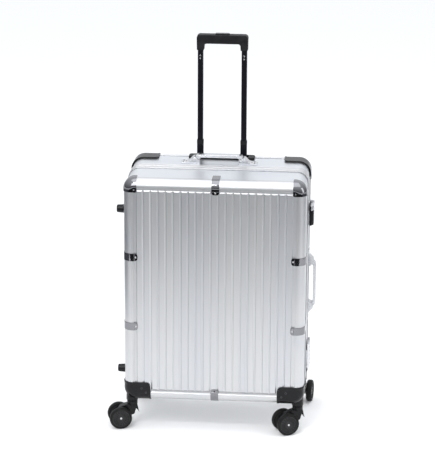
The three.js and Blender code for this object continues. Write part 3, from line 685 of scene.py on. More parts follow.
def fluted_panel(half):
    """The panel of one half, with as many flutes as fit between the extrusions."""
    low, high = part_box(f"{half}_panel")
    count, pitch, foot = FLUTES, FLUTE_PITCH, FLUTE_FOOT
    wall, end_gap = 1.1 * MM, 2.5 * MM
    side = HALVES[half]
    sheet_y = face_y(half) - side * (BAND_FACE + wall / 2)
    bottom, top = low.z, high.z
    flute_low, flute_high = BOTTOM + EDGE_LEG + end_gap, TOP - EDGE_LEG - end_gap
    first_x = MIDDLE_X - (count - 1) / 2 * pitch
    panel = upright_sheet(f"{half}_fluted_panel", (first_x, sheet_y, (bottom + top) / 2), pitch,
                          top - bottom)
    edit_mode(panel)
    for point, normal in (
        ((first_x - foot / 2, 0, 0), (1, 0, 0)), ((first_x + foot / 2, 0, 0), (1, 0, 0)),
        ((0, 0, flute_low), (0, 0, 1)), ((0, 0, flute_high), (0, 0, 1)),
    ):
        bpy.ops.mesh.select_all(action="SELECT")
        bpy.ops.mesh.bisect(plane_co=point, plane_no=normal)
    pick(panel, "FACE", lambda c, n: abs(c.x - first_x) < foot / 3 and flute_low < c.z < flute_high)
    bpy.ops.mesh.inset(thickness=(foot - FLUTE_CREST) / 2, depth=0)
    bpy.ops.transform.translate(value=(0, side * FLUTE_RISE, 0))
    object_mode()
    soften(panel, 1.3 * MM, 4, angle=20)
    modifier(panel, "ARRAY", count=count, use_relative_offset=False, use_constant_offset=True,
             constant_offset_displace=(pitch, 0, 0), use_merge_vertices=True, merge_threshold=WELD)
    edit_mode(panel)
    for end, reach in ((-1, low.x), (1, high.x)):
        rim = MIDDLE_X + end * count * pitch / 2
        pick(panel, "EDGE", lambda c, d, rim=rim: abs(c.x - rim) < WELD and abs(d.z) > 0.9)
        bpy.ops.mesh.extrude_edges_move(TRANSFORM_OT_translate={"value": (reach - rim, 0, 0)})
    bpy.ops.mesh.select_all(action="SELECT")
    bpy.ops.mesh.normals_make_consistent(inside=False)
    pick(panel, "FACE", lambda c, n: n.y * side < -0.3)
    bpy.ops.mesh.flip_normals()
    object_mode()
    modifier(panel, "SOLIDIFY", thickness=wall, offset=-1)
    return dress(panel, f"{half}_half", fluted, [f"{half}_panel"], angle=50)


for half in HALVES:
    panel = fluted_panel(half)
    print(panel.name, len(panel.data.polygons), "faces")

# %% [markdown]
# ## Bands and rails
#
# A plain band of sheet runs right round each half, and a rail closes its open edge. Both are
# the same rounded rectangle pulled along Y: the corner points of a plane are bevelled round,
# its face is thrown away and its rim is extruded. The rail also gets two pressed grooves,
# which catch light as thin lines, and a web inside its open edge. The front one carries the
# tongue that slips into the rear half.

# %% Rings round the case
def ring_skin(name, inset, start, end, cuts=()):
    """The case's outline, shrunk by inset, pulled along Y and cut across at each place."""
    ring = upright_sheet(name, (MIDDLE_X, start, MIDDLE_Z), RIGHT - LEFT - 2 * inset,
                         TOP - BOTTOM - 2 * inset)
    edit_mode(ring)
    bpy.ops.mesh.select_all(action="SELECT")
    bpy.ops.mesh.bevel(offset=CORNER_RADIUS - inset, offset_type="OFFSET", segments=12,
                       affect="VERTICES", clamp_overlap=False)
    bpy.ops.mesh.select_all(action="SELECT")
    bpy.ops.mesh.delete(type="ONLY_FACE")
    bpy.ops.mesh.select_all(action="SELECT")
    bpy.ops.mesh.extrude_edges_move(TRANSFORM_OT_translate={"value": (0, end - start, 0)})
    for cut in cuts:
        bpy.ops.mesh.select_all(action="SELECT")
        bpy.ops.mesh.bisect(plane_co=(0, cut, 0), plane_no=(0, 1, 0))
    bpy.ops.mesh.select_all(action="SELECT")
    bpy.ops.mesh.normals_make_consistent(inside=False)
    outward = pick(ring, "FACE", lambda c, n: n.z > 0.9 and c.z > MIDDLE_Z)
    if not outward:
        bpy.ops.mesh.select_all(action="SELECT")
        bpy.ops.mesh.flip_normals()
    return ring


GROOVES = ((2.2, 3.4), (14.6, 15.8))  # where each starts and ends, in mm from the open edge


def press_strip(ring, start, end, depth):
    """Presses the strip between two cuts inwards along its own normals."""
    low, high = sorted((start, end))
    pick(ring, "FACE", lambda c, n: low < c.y < high)
    bpy.ops.transform.shrink_fatten(value=-depth)


def band_sheet(half):
    """The plain sheet round one half; the rear one has a notch for the pull handle's well."""
    wall, margin, lip = 1.2 * MM, 14 * MM, 1.5 * MM
    low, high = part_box(f"{half}_band")
    start, end = (high.y, low.y) if half == "front" else (low.y, high.y)
    band = ring_skin(f"{half}_band_sheet", BAND_FACE, start, end)
    if half == "rear":
        well_low, well_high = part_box("handle_bezel")
        x0, x1, y0 = well_low.x + margin, well_high.x - margin, well_low.y + lip
        for point, normal in (((x0, 0, 0), (1, 0, 0)), ((x1, 0, 0), (1, 0, 0)), ((0, y0, 0), (0, 1, 0))):
            pick(band, "FACE", lambda c, n: n.z > 0.9)
            bpy.ops.mesh.bisect(plane_co=point, plane_no=normal)
        notch = pick(band, "FACE", lambda c, n: n.z > 0.9 and x0 < c.x < x1 and c.y > y0)
        bpy.ops.mesh.delete(type="FACE")
        print("well notch takes out", notch, "face")
    object_mode()
    modifier(band, "SOLIDIFY", thickness=wall, offset=-1)
    return dress(band, f"{half}_half", plain_sheet, [f"{half}_band"])

# %% Rails
def frame_rail(half):
    """The rail that closes one half, pulled from the parting plane outwards."""
    side = HALVES[half]
    low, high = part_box(f"{half}_frame_rail")
    inner = PARTING + side * RAIL_GAP
    outer = low.y if half == "front" else high.y
    slope, depth = 0.3 * MM, 0.7 * MM
    grooves = [(inner + side * start * MM, inner + side * end * MM) for start, end in GROOVES]
    cuts = [y for start, end in grooves for y in (start, start + side * slope, end - side * slope, end)]
    rail = ring_skin(f"{half}_rail", 0, inner, outer, cuts)
    for start, end in grooves:
        press_strip(rail, start + side * slope, end - side * slope, depth)
    object_mode()
    modifier(rail, "SOLIDIFY", thickness=2.2 * MM, offset=-1)
    soften(rail, 0.55 * MM, 2, angle=60)
    web = ring_skin(f"{half}_web", 2 * MM, inner, inner + side * 2 * MM)
    object_mode()
    web_wall = 8 * MM if half == "front" else 4.4 * MM
    modifier(web, "SOLIDIFY", thickness=web_wall, offset=-1)
    parts = [rail, web]
    if half == "front":
        tongue = ring_skin("tongue", 7 * MM, inner - 1 * MM, high.y)
        object_mode()
        modifier(tongue, "SOLIDIFY", thickness=2 * MM, offset=-1)
        parts.append(soften(tongue, 0.4 * MM, 2, angle=60))
    return dress(joined(f"{half}_frame_rail_piece", parts), f"{half}_half", polished,
                 [f"{half}_frame_rail"], angle=30)


for half in HALVES:
    print(band_sheet(half).name, frame_rail(half).name)

# %% [markdown]
# ## Edge extrusions
#
# Four straight lengths of L-shaped extrusion frame each panel. The profile is drawn once:
# a big outer bend, a rounded bead where each leg ends, and a thin lip beyond it that grips
# the sheet. Pulled along each side, that one outline gives all eight lengths.

# %% The L profile
def edge_outline():
    """The profile, as distances in from the case's side face and from its front or rear face."""
    bend, wall, leg = BEND_RADIUS, 2.2 * MM, EDGE_LEG
    bead, lip = leg - 4.4 * MM, 1.35 * MM
    outer = arc((bend, bend), bend, 180, 270, 14)
    inner = arc((bend, bend), bend - wall, 270, 180, 10)
    one_end = [(lip, leg), (lip, bead + 0.9 * MM), (0.45 * MM, bead + 0.75 * MM), (0, bead + 0.2 * MM)]
    other_end = [(v, u) for u, v in reversed(one_end)]
    return one_end + outer + other_end + [(leg, wall)] + inner + [(wall, leg)]


print("profile points:", len(edge_outline()))

# %% Eight lengths
def edge_length(half, place):
    """One length of extrusion; the rear top one is notched for the handle's bezel."""
    side = HALVES[half]
    low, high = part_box(f"{half}_edge_{place}")
    face = face_y(half)
    corner = {"left": LEFT, "right": RIGHT, "top": TOP, "bottom": BOTTOM}[place]
    inward = 1 if place in ("left", "bottom") else -1
    across = [(corner + inward * u, face - side * v) for u, v in edge_outline()]
    name = f"{half}_extrusion_{place}"
    if place in ("left", "right"):
        length = prism(name, "XY", across, low.z, high.z)
    else:
        length = prism(name, "YZ", [(v, u) for u, v in across], low.x, high.x)
    soften(length, 0.35 * MM, 2, angle=50)
    if (half, place) == ("rear", "top"):
        well_low, well_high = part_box("handle_bezel")
        room = 0.3 * MM
        hollow(length, box_piece("bezel_notch", (well_low.x - room, well_low.y - room, TOP - BEND_RADIUS),
                                 (well_high.x + room, well_high.y + room, TOP + BEND_RADIUS)))
    return dress(length, f"{half}_half", polished, [f"{half}_edge_{place}"])


for half in HALVES:
    for place in ("top", "bottom", "left", "right"):
        edge_length(half, place)
print("eight lengths of extrusion")
# %% [markdown]
# ## Rivets and screws
#
# Fasteners are small, but a case like this shows dozens of them, and each catches one bright
# dot of light. A rivet is a low dome spun from a quarter profile. A screw is a flatter head
# with a round recess, which reads as a dark dot in its middle.

# %% A rivet and a screw
OUTWARD = {"front": ("Y", -1), "rear": ("Y", 1), "left": ("X", -1), "right": ("X", 1),
           "top": ("Z", 1), "bottom": ("Z", -1)}


def rivet(name, centre, facing, radius=2.4 * MM, rise=0.9 * MM):
    """A domed head on a surface; facing is the side of the case that it looks to."""
    axis, sign = OUTWARD[facing]
    dome = [(0, rise), (radius * 0.5, rise * 0.88), (radius * 0.85, rise * 0.5), (radius, 0),
            (radius, -0.4 * MM), (0, -0.4 * MM)]
    return lathe(name, [(r, sign * h) for r, h in dome], centre, axis, 14)


def screw(name, centre, facing, radius=3.2 * MM):
    """A countersunk head with a round recess in its middle."""
    axis, sign = OUTWARD[facing]
    head = [(0, -0.5 * MM), (radius * 0.38, -0.5 * MM), (radius * 0.45, 0.35 * MM),
            (radius * 0.9, 0.2 * MM), (radius, -0.1 * MM), (radius, -0.8 * MM), (0, -0.8 * MM)]
    return lathe(name, [(r, sign * h) for r, h in head], centre, axis, 16)


print("fasteners ready")

# %% [markdown]
# ## Corner caps and corner guards
#
# Every corner piece is pressed to the outer form of the case, a little bigger than it. So a
# block of the case's size gets its corners rounded and its rims bent by bevels, and three
# bisects keep one corner of it as an open sheet. Its outline corners are rounded, the sheet
# gets its thickness, and the guards get a raised border. One corner is made by hand, and
# mirrored copies of it serve the other corners.

# %% The form of the case and one corner of it
def case_form(name, grow):
    """The whole case as a rounded block, grown by a distance on every side."""
    form = box_piece(name, (LEFT - grow, FRONT - grow, BOTTOM - grow),
                     (RIGHT + grow, REAR + grow, TOP + grow))
    edit_mode(form)
    pick(form, "EDGE", lambda c, d: abs(d.y) > 0.9)
    bpy.ops.mesh.bevel(offset=CORNER_RADIUS + grow, segments=10, affect="EDGES", clamp_overlap=False)
    for face in (FRONT - grow, REAR + grow):
        pick(form, "EDGE", lambda c, d, face=face: abs(c.y - face) < WELD and abs(d.y) < 0.1)
        bpy.ops.mesh.bevel(offset=BEND_RADIUS + grow, segments=8, affect="EDGES", clamp_overlap=False)
    tidy_solid()
    return form


def corner_sheet(name, grow, inner, outline_radius):
    """The front, left, lower corner of the form; inner is where its three cuts meet."""
    sheet = case_form(name, grow)
    edit_mode(sheet)
    for axis, value in zip("XYZ", inner):
        bpy.ops.mesh.select_all(action="SELECT")
        bpy.ops.mesh.bisect(plane_co=AXES[axis] * value, plane_no=AXES[axis], clear_outer=True)
    near_cut = 20 * WELD
    pick(sheet, "VERT", lambda c, n: sum(abs(c[i] - inner[i]) < near_cut for i in range(3)) >= 2)
    bpy.ops.mesh.bevel(offset=outline_radius, segments=6, affect="VERTICES", clamp_overlap=True)
    return sheet


def pressed_border(width, depth):
    """Leaves a border standing and presses the rest of the open sheet in."""
    bpy.ops.mesh.select_mode(type="FACE")
    bpy.ops.mesh.select_all(action="SELECT")
    bpy.ops.mesh.inset(thickness=width, depth=0, use_even_offset=True, use_boundary=True)
    bpy.ops.mesh.inset(thickness=0.8 * MM, depth=-depth, use_even_offset=True, use_boundary=True)


print("case form ready")

# %% Caps and guards, copied to their corners
MIDDLE = Vector((MIDDLE_X, PARTING, MIDDLE_Z))
cap_low, cap_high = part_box("front_corner_cap_left")
CAP_PROUD = cap_high.z - TOP
guard_low, guard_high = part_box("front_guard_bottom_left")
GUARD_PROUD = LEFT - guard_low.x
SHEET_GAP = 0.3 * MM
print(f"cap stands {CAP_PROUD * 1000:.1f} mm proud, guards {GUARD_PROUD * 1000:.1f} mm")


def corner_cap():
    """The bright cap, made at the lower corner that mirrors its own, with its rivet."""
    mirrored_z = 2 * MIDDLE_Z - cap_low.z
    cap = corner_sheet("cap_blank", CAP_PROUD, (cap_high.x, cap_high.y, mirrored_z), 6 * MM)
    object_mode()
    modifier(cap, "SOLIDIFY", thickness=CAP_PROUD - SHEET_GAP, offset=-1)
    soften(cap, 0.5 * MM, 2, angle=55)
    inner = 6.5 * MM
    spot = (cap_high.x - inner, FRONT - CAP_PROUD, mirrored_z - inner)
    return joined("cap_blank", [cap, rivet("cap_rivet", spot, "front", 2.1 * MM)])


def guard_sheet():
    """The black guard's moulding, with its raised border."""
    inner = (guard_high.x, guard_high.y, guard_high.z)
    guard = corner_sheet("guard_blank", GUARD_PROUD, inner, 11 * MM)
    pressed_border(4.2 * MM, 0.7 * MM)
    object_mode()
    modifier(guard, "SOLIDIFY", thickness=GUARD_PROUD - 0.9 * MM, offset=-1)
    return soften(guard, 0.45 * MM, 2, angle=40)


print("cap and guard sheets ready")

# %% Sockets and screws of the guards
def guard_socket(name, x_side, y_side):
    """The leg that the caster's stem turns in, closed at its top and bored from below."""
    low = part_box(name)[0]
    pivot = joint_place(f"swivel_{'front' if y_side < 0 else 'rear'}_{'left' if x_side < 0 else 'right'}")
    radius, bore, foot = 15 * MM, 5.4 * MM, 1.8 * MM
    top = BOTTOM + CORNER_RADIUS * 0.6
    socket = lathe("socket", [(0, BOTTOM - 1.5 * MM), (bore, BOTTOM - 1.5 * MM), (bore, low.z),
                              (radius - foot, low.z), (radius, low.z + foot), (radius, top), (0, top)],
                   (pivot.x, pivot.y, 0), "Z", 32)
    return hollow(socket, case_form("socket_tool", SHEET_GAP))


def guard_screws(x_side, y_side, z_side):
    """Two screws on the face, near the guard's inner end."""
    facing = "front" if y_side < 0 else "rear"
    y = FRONT - GUARD_PROUD + 0.7 * MM if y_side < 0 else REAR + GUARD_PROUD - 0.7 * MM
    corner_x = LEFT if x_side < 0 else RIGHT
    corner_z = BOTTOM if z_side < 0 else TOP
    places = ((45 * MM, 33 * MM), (56 * MM, 22 * MM))
    return [screw("guard_screw", (corner_x - x_side * across, y, corner_z - z_side * up), facing)
            for across, up in places]


print("socket and screw helpers ready")

# %% Copies for each corner
cap_blank = corner_cap()
for place, flips in (("left", "Z"), ("right", "XZ")):
    cap = copied(cap_blank, f"bright_cap_{place}", mirror=flips, about=MIDDLE)
    dress(cap, "front_half", chrome, [f"front_corner_cap_{place}"])
bpy.data.objects.remove(cap_blank)

guard_blank = guard_sheet()
for half, y_side in HALVES.items():
    for place, x_side in SIDES.items():
        for level, z_side in (("bottom", -1), ("top", 1)):
            node = f"{half}_guard_{level}_{place}"
            if node not in frame["nodes"]:
                continue
            flips = "".join(axis for axis, sign in zip("XYZ", (x_side, y_side, z_side)) if sign > 0)
            parts = [copied(guard_blank, node + "_moulding", mirror=flips, about=MIDDLE)]
            if z_side < 0:
                parts.append(guard_socket(node, x_side, y_side))
            guard = joined(node + "_moulding", parts)
            dress(guard, f"{half}_half", gloss_black, [node])
            screws = joined(node + "_screws", guard_screws(x_side, y_side, z_side))
            dress(screws, f"{half}_half", dark_steel)
bpy.data.objects.remove(guard_blank)
print("two caps and six guards")

# %% [markdown]
# ## Edge clips
#
# Bright clips are folded over the extrusions and riveted through the panel, and they hold
# both together. A clip is the extrusion's own profile drawn a millimetre bigger, pulled
# 20 mm long. Its tip on the panel is rounded off by a bevel of two short edges.

# %% One clip, drawn and folded
CLIP_WIDTH = 20 * MM
CLIP_TIP = 36 * MM
CLIP_BACK = 50 * MM


def clip_outline():
    """The folded strip, as distances in from the side face and from the front face."""
    over, wall = 1.1 * MM, 1.0 * MM
    outer = [(CLIP_TIP, -0.1 * MM), (EDGE_LEG + 1.2 * MM, -0.1 * MM), (EDGE_LEG + 0.4 * MM, -over)]
    outer += arc((BEND_RADIUS, BEND_RADIUS), BEND_RADIUS + over, 270, 180, 12)
    outer += [(-over, CLIP_BACK)]
    inner = [(-over + wall, CLIP_BACK)]
    inner += arc((BEND_RADIUS, BEND_RADIUS), BEND_RADIUS + over - wall, 180, 270, 12)
    inner += [(EDGE_LEG - 0.6 * MM, -over + wall), (EDGE_LEG + 0.2 * MM, wall), (CLIP_TIP, wall)]
    return outer + inner


def edge_clip(name, place, middle):
    """A clip over the front edge extrusion of one side; middle is its place along that side."""
    corner = {"left": LEFT, "right": RIGHT, "top": TOP, "bottom": BOTTOM}[place]
    inward = 1 if place in ("left", "bottom") else -1
    across = [(corner + inward * u, FRONT + v) for u, v in clip_outline()]
    ends = (middle - CLIP_WIDTH / 2, middle + CLIP_WIDTH / 2)
    tip = corner + inward * CLIP_TIP
    if place in ("left", "right"):
        clip, axis = prism(name, "XY", across, *ends), 0
    else:
        clip, axis = prism(name, "YZ", [(v, u) for u, v in across], *ends), 2
    edit_mode(clip)
    pick(clip, "EDGE", lambda c, d: abs(c[axis] - tip) < WELD and abs(d.y) > 0.9)
    bpy.ops.mesh.bevel(offset=6.5 * MM, segments=6, affect="EDGES", clamp_overlap=True)
    tidy_solid()
    soften(clip, 0.25 * MM, 2, angle=45)
    along = corner + inward * (CLIP_TIP - 5 * MM)
    spot = (along, FRONT - 0.1 * MM, middle) if axis == 0 else (middle, FRONT - 0.1 * MM, along)
    head = rivet(name + "_rivet", spot, "front", 2.2 * MM)
    dress(head, "front_half", dark_steel if place == "bottom" else steel)
    return dress(clip, "front_half", chrome)


for place in ("left", "right"):
    for row, drop in (("upper", 0.205), ("lower", 0.390)):
        edge_clip(f"edge_clip_{place}_{row}", place, TOP - drop)
for place in ("top", "bottom"):
    edge_clip(f"edge_clip_{place}", place, MIDDLE_X + 2 * MM)
print("six clips folded over the edges")

# %% [markdown]
# ## Side feet
#
# Four black rubber-ended feet carry the case when it stands on its hinge side. Each is one
# spun profile: a flange, a slim cone and a rounded end with a shallow dish.

# %% Feet
def side_foot(node):
    """One foot, spun about X from the band outwards."""
    low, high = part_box(node)
    reach, root = high.x - low.x, (high.z - low.z) / 2
    tip, round_end = root - 2 * MM, 3 * MM
    profile = [(0, 0), (root, 0), (root, -4.2 * MM), (root - 0.9 * MM, -5 * MM), (tip, -reach + round_end)]
    profile += [(r, -h) for r, h in arc((tip - round_end, reach - round_end), round_end, 15, 90, 5)]
    profile += [(tip - 4.5 * MM, -reach + 0.8 * MM), (0, -reach + 0.8 * MM)]
    centre = (high.x, (low.y + high.y) / 2, (low.z + high.z) / 2)
    return lathe(node + "_turned", profile, centre, "X", 40)


for half in HALVES:
    for level in ("upper", "lower"):
        node = f"side_foot_{half}_{level}"
        dress(side_foot(node), f"{half}_half", gloss_black, [node])
print("four feet")

# %% [markdown]
# ## Piano hinge
#
# A piano hinge is two long leaves whose rolled knuckles take turns on one pin. The leaves are
# thin blocks with softened edges and a row of rivets. The knuckles are short spun tubes, and
# they alternate between the two leaves, so the front ones turn with the lid.

# %% Leaves, knuckles and pin
KNUCKLES = 15
LEAF_RIVETS = 10
LEAF_WALL = 1.4 * MM


def hinge_leaf(half):
    """One leaf with its own knuckles; the rear one also carries the pin."""
    side = HALVES[half]
    low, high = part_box(f"hinge_leaf_{half}")
    knuckle = 3.6 * MM
    axis_x, inner_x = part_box("hinge_leaf_rear")[0].x + knuckle, LEFT - 0.3 * MM
    step = (high.z - low.z) / KNUCKLES
    near_y, rivet_y, far_y = (PARTING + side * out * MM for out in (2.9, 11.5, 17))
    outer_x = inner_x - LEAF_WALL
    plate = box_piece("leaf_plate", (outer_x, min(near_y, far_y), low.z),
                      (inner_x, max(near_y, far_y), high.z))
    parts = [soften(plate, 0.35 * MM, 2)]
    for i in range(KNUCKLES):
        if (i % 2 == 0) != (half == "rear"):
            continue
        end_gap, rim, bore = 0.2 * MM, 0.4 * MM, 1.9 * MM
        z0, z1 = low.z + i * step + end_gap, low.z + (i + 1) * step - end_gap
        parts.append(lathe("knuckle", [(bore, z0), (knuckle - rim, z0), (knuckle, z0 + rim),
                                       (knuckle, z1 - rim), (knuckle - rim, z1), (bore, z1), (bore, z0)],
                           (axis_x, PARTING, 0), "Z", 20))
        parts.append(box_piece("knuckle_tab", (outer_x, min(PARTING, near_y), z0),
                               (inner_x, max(PARTING, near_y), z1)))
    for i in range(LEAF_RIVETS):
        z = low.z + (i + 0.5) * (high.z - low.z) / LEAF_RIVETS
        parts.append(rivet("leaf_rivet", (outer_x, rivet_y, z), "left", 2.0 * MM, 0.7 * MM))
    if half == "rear":
        pin, foot, head = 1.6 * MM, low.z + 0.5 * MM, high.z - 0.5 * MM
        parts.append(lathe("hinge_pin", [(0, foot), (pin, foot), (pin, head), (0, head)],
                           (axis_x, PARTING, 0), "Z", 12))
    return dress(joined(f"hinge_leaf_{half}_rolled", parts), f"{half}_half", polished,
                 [f"hinge_leaf_{half}"])


for half in HALVES:
    print(hinge_leaf(half).name)

# %% [markdown]
# ## Latches
#
# Each latch is a base plate with two ears, a lever that swings on a pin between them, and a
# keeper on the lid. The upper lever has a black body under a silver end. The lower one is a
# slim silver bar with five dark studs. The lever is its own side view pulled upright, so its
# nose thins towards the lid and its heel is round about the pin.

# %% Levers, bases and keepers
def nose_curve(low, thick, start):
    """The rounded nose of a lever: start is how far out it begins, as a share of its thickness."""
    return [(low.x + thick * (start + 0.65 * math.sin(t * math.pi / 12)), low.y + t * 2.2 * MM)
            for t in range(1, 6)]


def latch_lever(level):
    """The lever and its pin, with the measures that its trim needs."""
    low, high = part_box(f"latch_lever_{level}")
    thick = high.x - low.x
    heel = high.y - thick / 2
    side_view = [(low.x, low.y), (low.x + thick * 0.35, low.y)] + nose_curve(low, thick, 0.35)
    side_view += arc((low.x + thick / 2, heel), thick / 2, 0, 180, 12)
    ear, pin_end = 3.3 * MM, 0.5 * MM
    z0, z1 = low.z - pin_end + ear, high.z + pin_end - ear
    body = prism(f"lever_{level}", "XY", side_view, z0, z1)
    soften(body, 1.6 * MM if level == "upper" else 0.8 * MM, 3, angle=40)
    pin = lathe("lever_pin", [(0, low.z), (1.5 * MM, low.z), (1.5 * MM, high.z), (0, high.z)],
                (low.x + thick / 2, heel, 0), "Z", 14)
    return body, pin, (low, high, thick, z0, z1)


def lever_cap(low, high, thick, z1):
    """The silver end over the top of the black lever."""
    length = 13 * MM
    edge = 0.4 * MM
    heel = high.y - thick / 2
    view = [(low.x + thick * 0.2, low.y + 1 * MM), (low.x + thick * 0.5, low.y + 0.4 * MM)]
    view += nose_curve(low, thick, 0.38)
    view += [(high.x + edge * 0.8, heel), (low.x + thick * 0.2, heel)]
    cap = prism("lever_cap", "XY", view, z1 - length, z1 + edge * 0.5)
    return soften(cap, 1.2 * MM, 3, angle=40)


print("levers ready")

# %% Bases and keepers
def latch_base(level):
    """A plate with two ears, bored for the lever's pin."""
    low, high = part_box(f"latch_base_{level}")
    wall, ear = 2.2 * MM, 3 * MM
    lever_low, lever_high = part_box(f"latch_lever_{level}")
    half_thick = (lever_high.x - lever_low.x) / 2
    pivot = Vector((lever_low.x + half_thick, lever_high.y - half_thick, 0))
    parts = [soften(box_piece("base_plate", (low.x, low.y, low.z), (low.x + wall, high.y, high.z)),
                    0.4 * MM)]
    for z in (low.z, high.z - ear):
        view = [(low.x, pivot.y - half_thick), (pivot.x, pivot.y - half_thick)]
        view += arc((pivot.x, pivot.y), half_thick, -90, 90, 10)[1:] + [(low.x, pivot.y + half_thick)]
        ear_piece = prism("ear", "XY", view, z, z + ear)
        bore, foot, head = 1.8 * MM, z - ear, z + 2 * ear
        hole = lathe("pin_hole", [(0, foot), (bore, foot), (bore, head), (0, head)], pivot, "Z", 14)
        parts.append(soften(hollow(ear_piece, hole), 0.35 * MM, 2, angle=50))
    for z in (low.z + 9 * MM, high.z - 9 * MM):
        parts.append(rivet("base_rivet", (low.x + wall, low.y + 5 * MM, z), "right", 1.9 * MM, 0.6 * MM))
    return joined(f"latch_base_{level}_pressed", parts)


def latch_keeper(level):
    """The small plate on the lid that the lever's nose holds down."""
    low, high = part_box(f"latch_keeper_{level}")
    plate = box_piece(f"latch_keeper_{level}_plate", low, high)
    soften(plate, 0.5 * MM, 2)
    heads = [rivet("keeper_rivet", (high.x - 0.1 * MM, low.y + 2.4 * MM, z), "right", 1.5 * MM, 0.3 * MM)
             for z in (low.z + 3 * MM, high.z - 3 * MM)]
    return joined(f"latch_keeper_{level}_plate", [plate, *heads])


print("bases and keepers ready")

# %% Two latches
for level in ("upper", "lower"):
    body, pin, (low, high, thick, z0, z1) = latch_lever(level)
    if level == "upper":
        dress(body, "latch_upper", gloss_black, ["latch_lever_upper"], angle=50)
        trim = joined("latch_lever_upper_end", [lever_cap(low, high, thick, z1), pin])
        dress(trim, "latch_upper", satin, angle=50)
    else:
        ridges = [rivet("lever_ridge", (high.x - 0.3 * MM, low.y + 14 * MM, z0 + (k + 1) * (z1 - z0) / 6),
                        "right", 2.6 * MM, 0.7 * MM) for k in range(5)]
        lever = joined("latch_lever_lower_bar", [body, pin])
        dress(lever, "latch_lower", satin, ["latch_lever_lower"], angle=50)
        dress(joined("latch_lever_lower_studs", ridges), "latch_lower", dark_steel)
    dress(latch_base(level), "rear_half", satin, [f"latch_base_{level}"])
    dress(latch_keeper(level), "front_half", satin, [f"latch_keeper_{level}"])
print("two latches")
# %% [markdown]
# ## Carry handles
#
# A carry handle is a bow of cast metal that can lift a few millimetres, held at each end by a
# wedge-shaped bracket. The bow and a bracket are drawn from the side and pulled across, and
# generous bevels round them for the hand. Both handles are alike, so each piece is made once
# lying flat, then copied to the top and turned onto the side.

# %% The bow and a bracket, lying flat
BOW_HALF, BOW_LEG, BOW_RISE, BOW_THICK = 62 * MM, 10 * MM, 23 * MM, 7.5 * MM
BOW_WIDTH, BRACKET_WIDTH, SLIP = 20 * MM, 27 * MM, 0.5 * MM


def carry_bow():
    """X along the handle, Z away from the face that it sits on."""
    under, floor, toe = BOW_RISE - BOW_THICK, 0.3 * MM, 2.3 * MM
    leg_inside, toe_end = BOW_HALF - BOW_LEG, BOW_HALF + 8 * MM
    shoulder = 11 * MM
    throat = 5 * MM
    right = arc((leg_inside - throat, under - throat), throat, 90, 0, 5)
    right += [(leg_inside, floor), (toe_end, floor), (toe_end, toe), (BOW_HALF, toe)]
    right += [(BOW_HALF, BOW_RISE - shoulder)]
    right += arc((BOW_HALF - shoulder, BOW_RISE - shoulder), shoulder, 12, 90, 7)
    left = [(-x, z) for x, z in reversed(right)]
    bow = prism("carry_bow", "XZ", right + left, -BOW_WIDTH / 2, BOW_WIDTH / 2)
    return soften(bow, 2.6 * MM, 4, angle=50)


def carry_bracket():
    """The right-hand bracket: a wedge with a slot that the bow's leg slides in."""
    near, slot_near = BOW_HALF - BOW_LEG - SLIP - 2 * MM, BOW_HALF - BOW_LEG - SLIP
    crest, plate, end, roof = 17 * MM, 3.5 * MM, 98 * MM, 7.6 * MM
    slope_end = 80 * MM
    side_view = [(near, 0.3 * MM), (near, 9 * MM), (slot_near, 10 * MM), (BOW_HALF - 4 * MM, crest)]
    side_view += [(BOW_HALF + 1 * MM, crest), (BOW_HALF + 5 * MM, crest - 1.2 * MM)]
    side_view += [(slope_end - 4 * MM, plate + 3.2 * MM), (slope_end, plate + 1 * MM),
                  (slope_end + 4 * MM, plate), (end - 1.5 * MM, plate), (end, plate - 1.5 * MM),
                  (end, 0.3 * MM)]
    bracket = prism("carry_bracket", "XZ", side_view, -BRACKET_WIDTH / 2, BRACKET_WIDTH / 2)
    edit_mode(bracket)
    pick(bracket, "EDGE", lambda c, d: abs(c.x - end) < WELD and abs(d.z) > 0.9)
    bpy.ops.mesh.bevel(offset=6 * MM, segments=5, affect="EDGES", clamp_overlap=True)
    tidy_solid()
    soften(bracket, 0.8 * MM, 3, angle=40)
    half = BOW_WIDTH / 2 + SLIP
    hollow(bracket, box_piece("slot", (slot_near, -half, -MM), (BOW_HALF + SLIP, half, crest + MM)))
    toe_end = BOW_HALF + 8 * MM + SLIP
    hollow(bracket, box_piece("pocket", (slot_near, -half, -MM), (toe_end, half, roof)))
    return bracket


print("bow and bracket ready")

# %% Both handles from one set
def bracket_rivets():
    """Three rivet heads near the bracket's thin end."""
    heads = [rivet("bracket_rivet", (91 * MM, y, 3.5 * MM), "top", 2.3 * MM) for y in (-7 * MM, 7 * MM)]
    heads.append(rivet("bracket_rivet", (84 * MM, 0, 3.4 * MM), "top", 1.6 * MM))
    return joined("bracket_rivets", heads)


def base_of(grip, facing):
    """Where the flat pieces go: the middle of the grip, on the face that it sits on."""
    low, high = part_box(grip)
    middle = (low + high) / 2
    if facing == "top":
        return Vector((middle.x, middle.y, low.z - 0.3 * MM)), (0, 0, 0)
    return Vector((low.x - 0.3 * MM, middle.y, middle.z)), (0, 90, 0)


flat_bow, flat_bracket, flat_rivets = carry_bow(), carry_bracket(), bracket_rivets()
for handle, facing, ends in (("top_handle", "top", {"right": "", "left": "X"}),
                             ("side_handle", "side", {"lower": "", "upper": "X"})):
    place, turn = base_of(f"{handle}_grip", facing)
    bow = copied(flat_bow, f"{handle}_bow", place=place, turn=turn)
    dress(bow, handle, satin, [f"{handle}_grip"], angle=50)
    for end, flip in ends.items():
        name = f"{handle}_bracket_{end}"
        wedge = copied(flat_bracket, name + "_cast", place=place, turn=turn, mirror=flip)
        dress(wedge, "rear_half", satin, [name], angle=40)
        heads = copied(flat_rivets, name + "_rivets", place=place, turn=turn, mirror=flip)
        dress(heads, "rear_half", dark_steel)
for blank in (flat_bow, flat_bracket, flat_rivets):
    bpy.data.objects.remove(blank)
print("two carry handles")

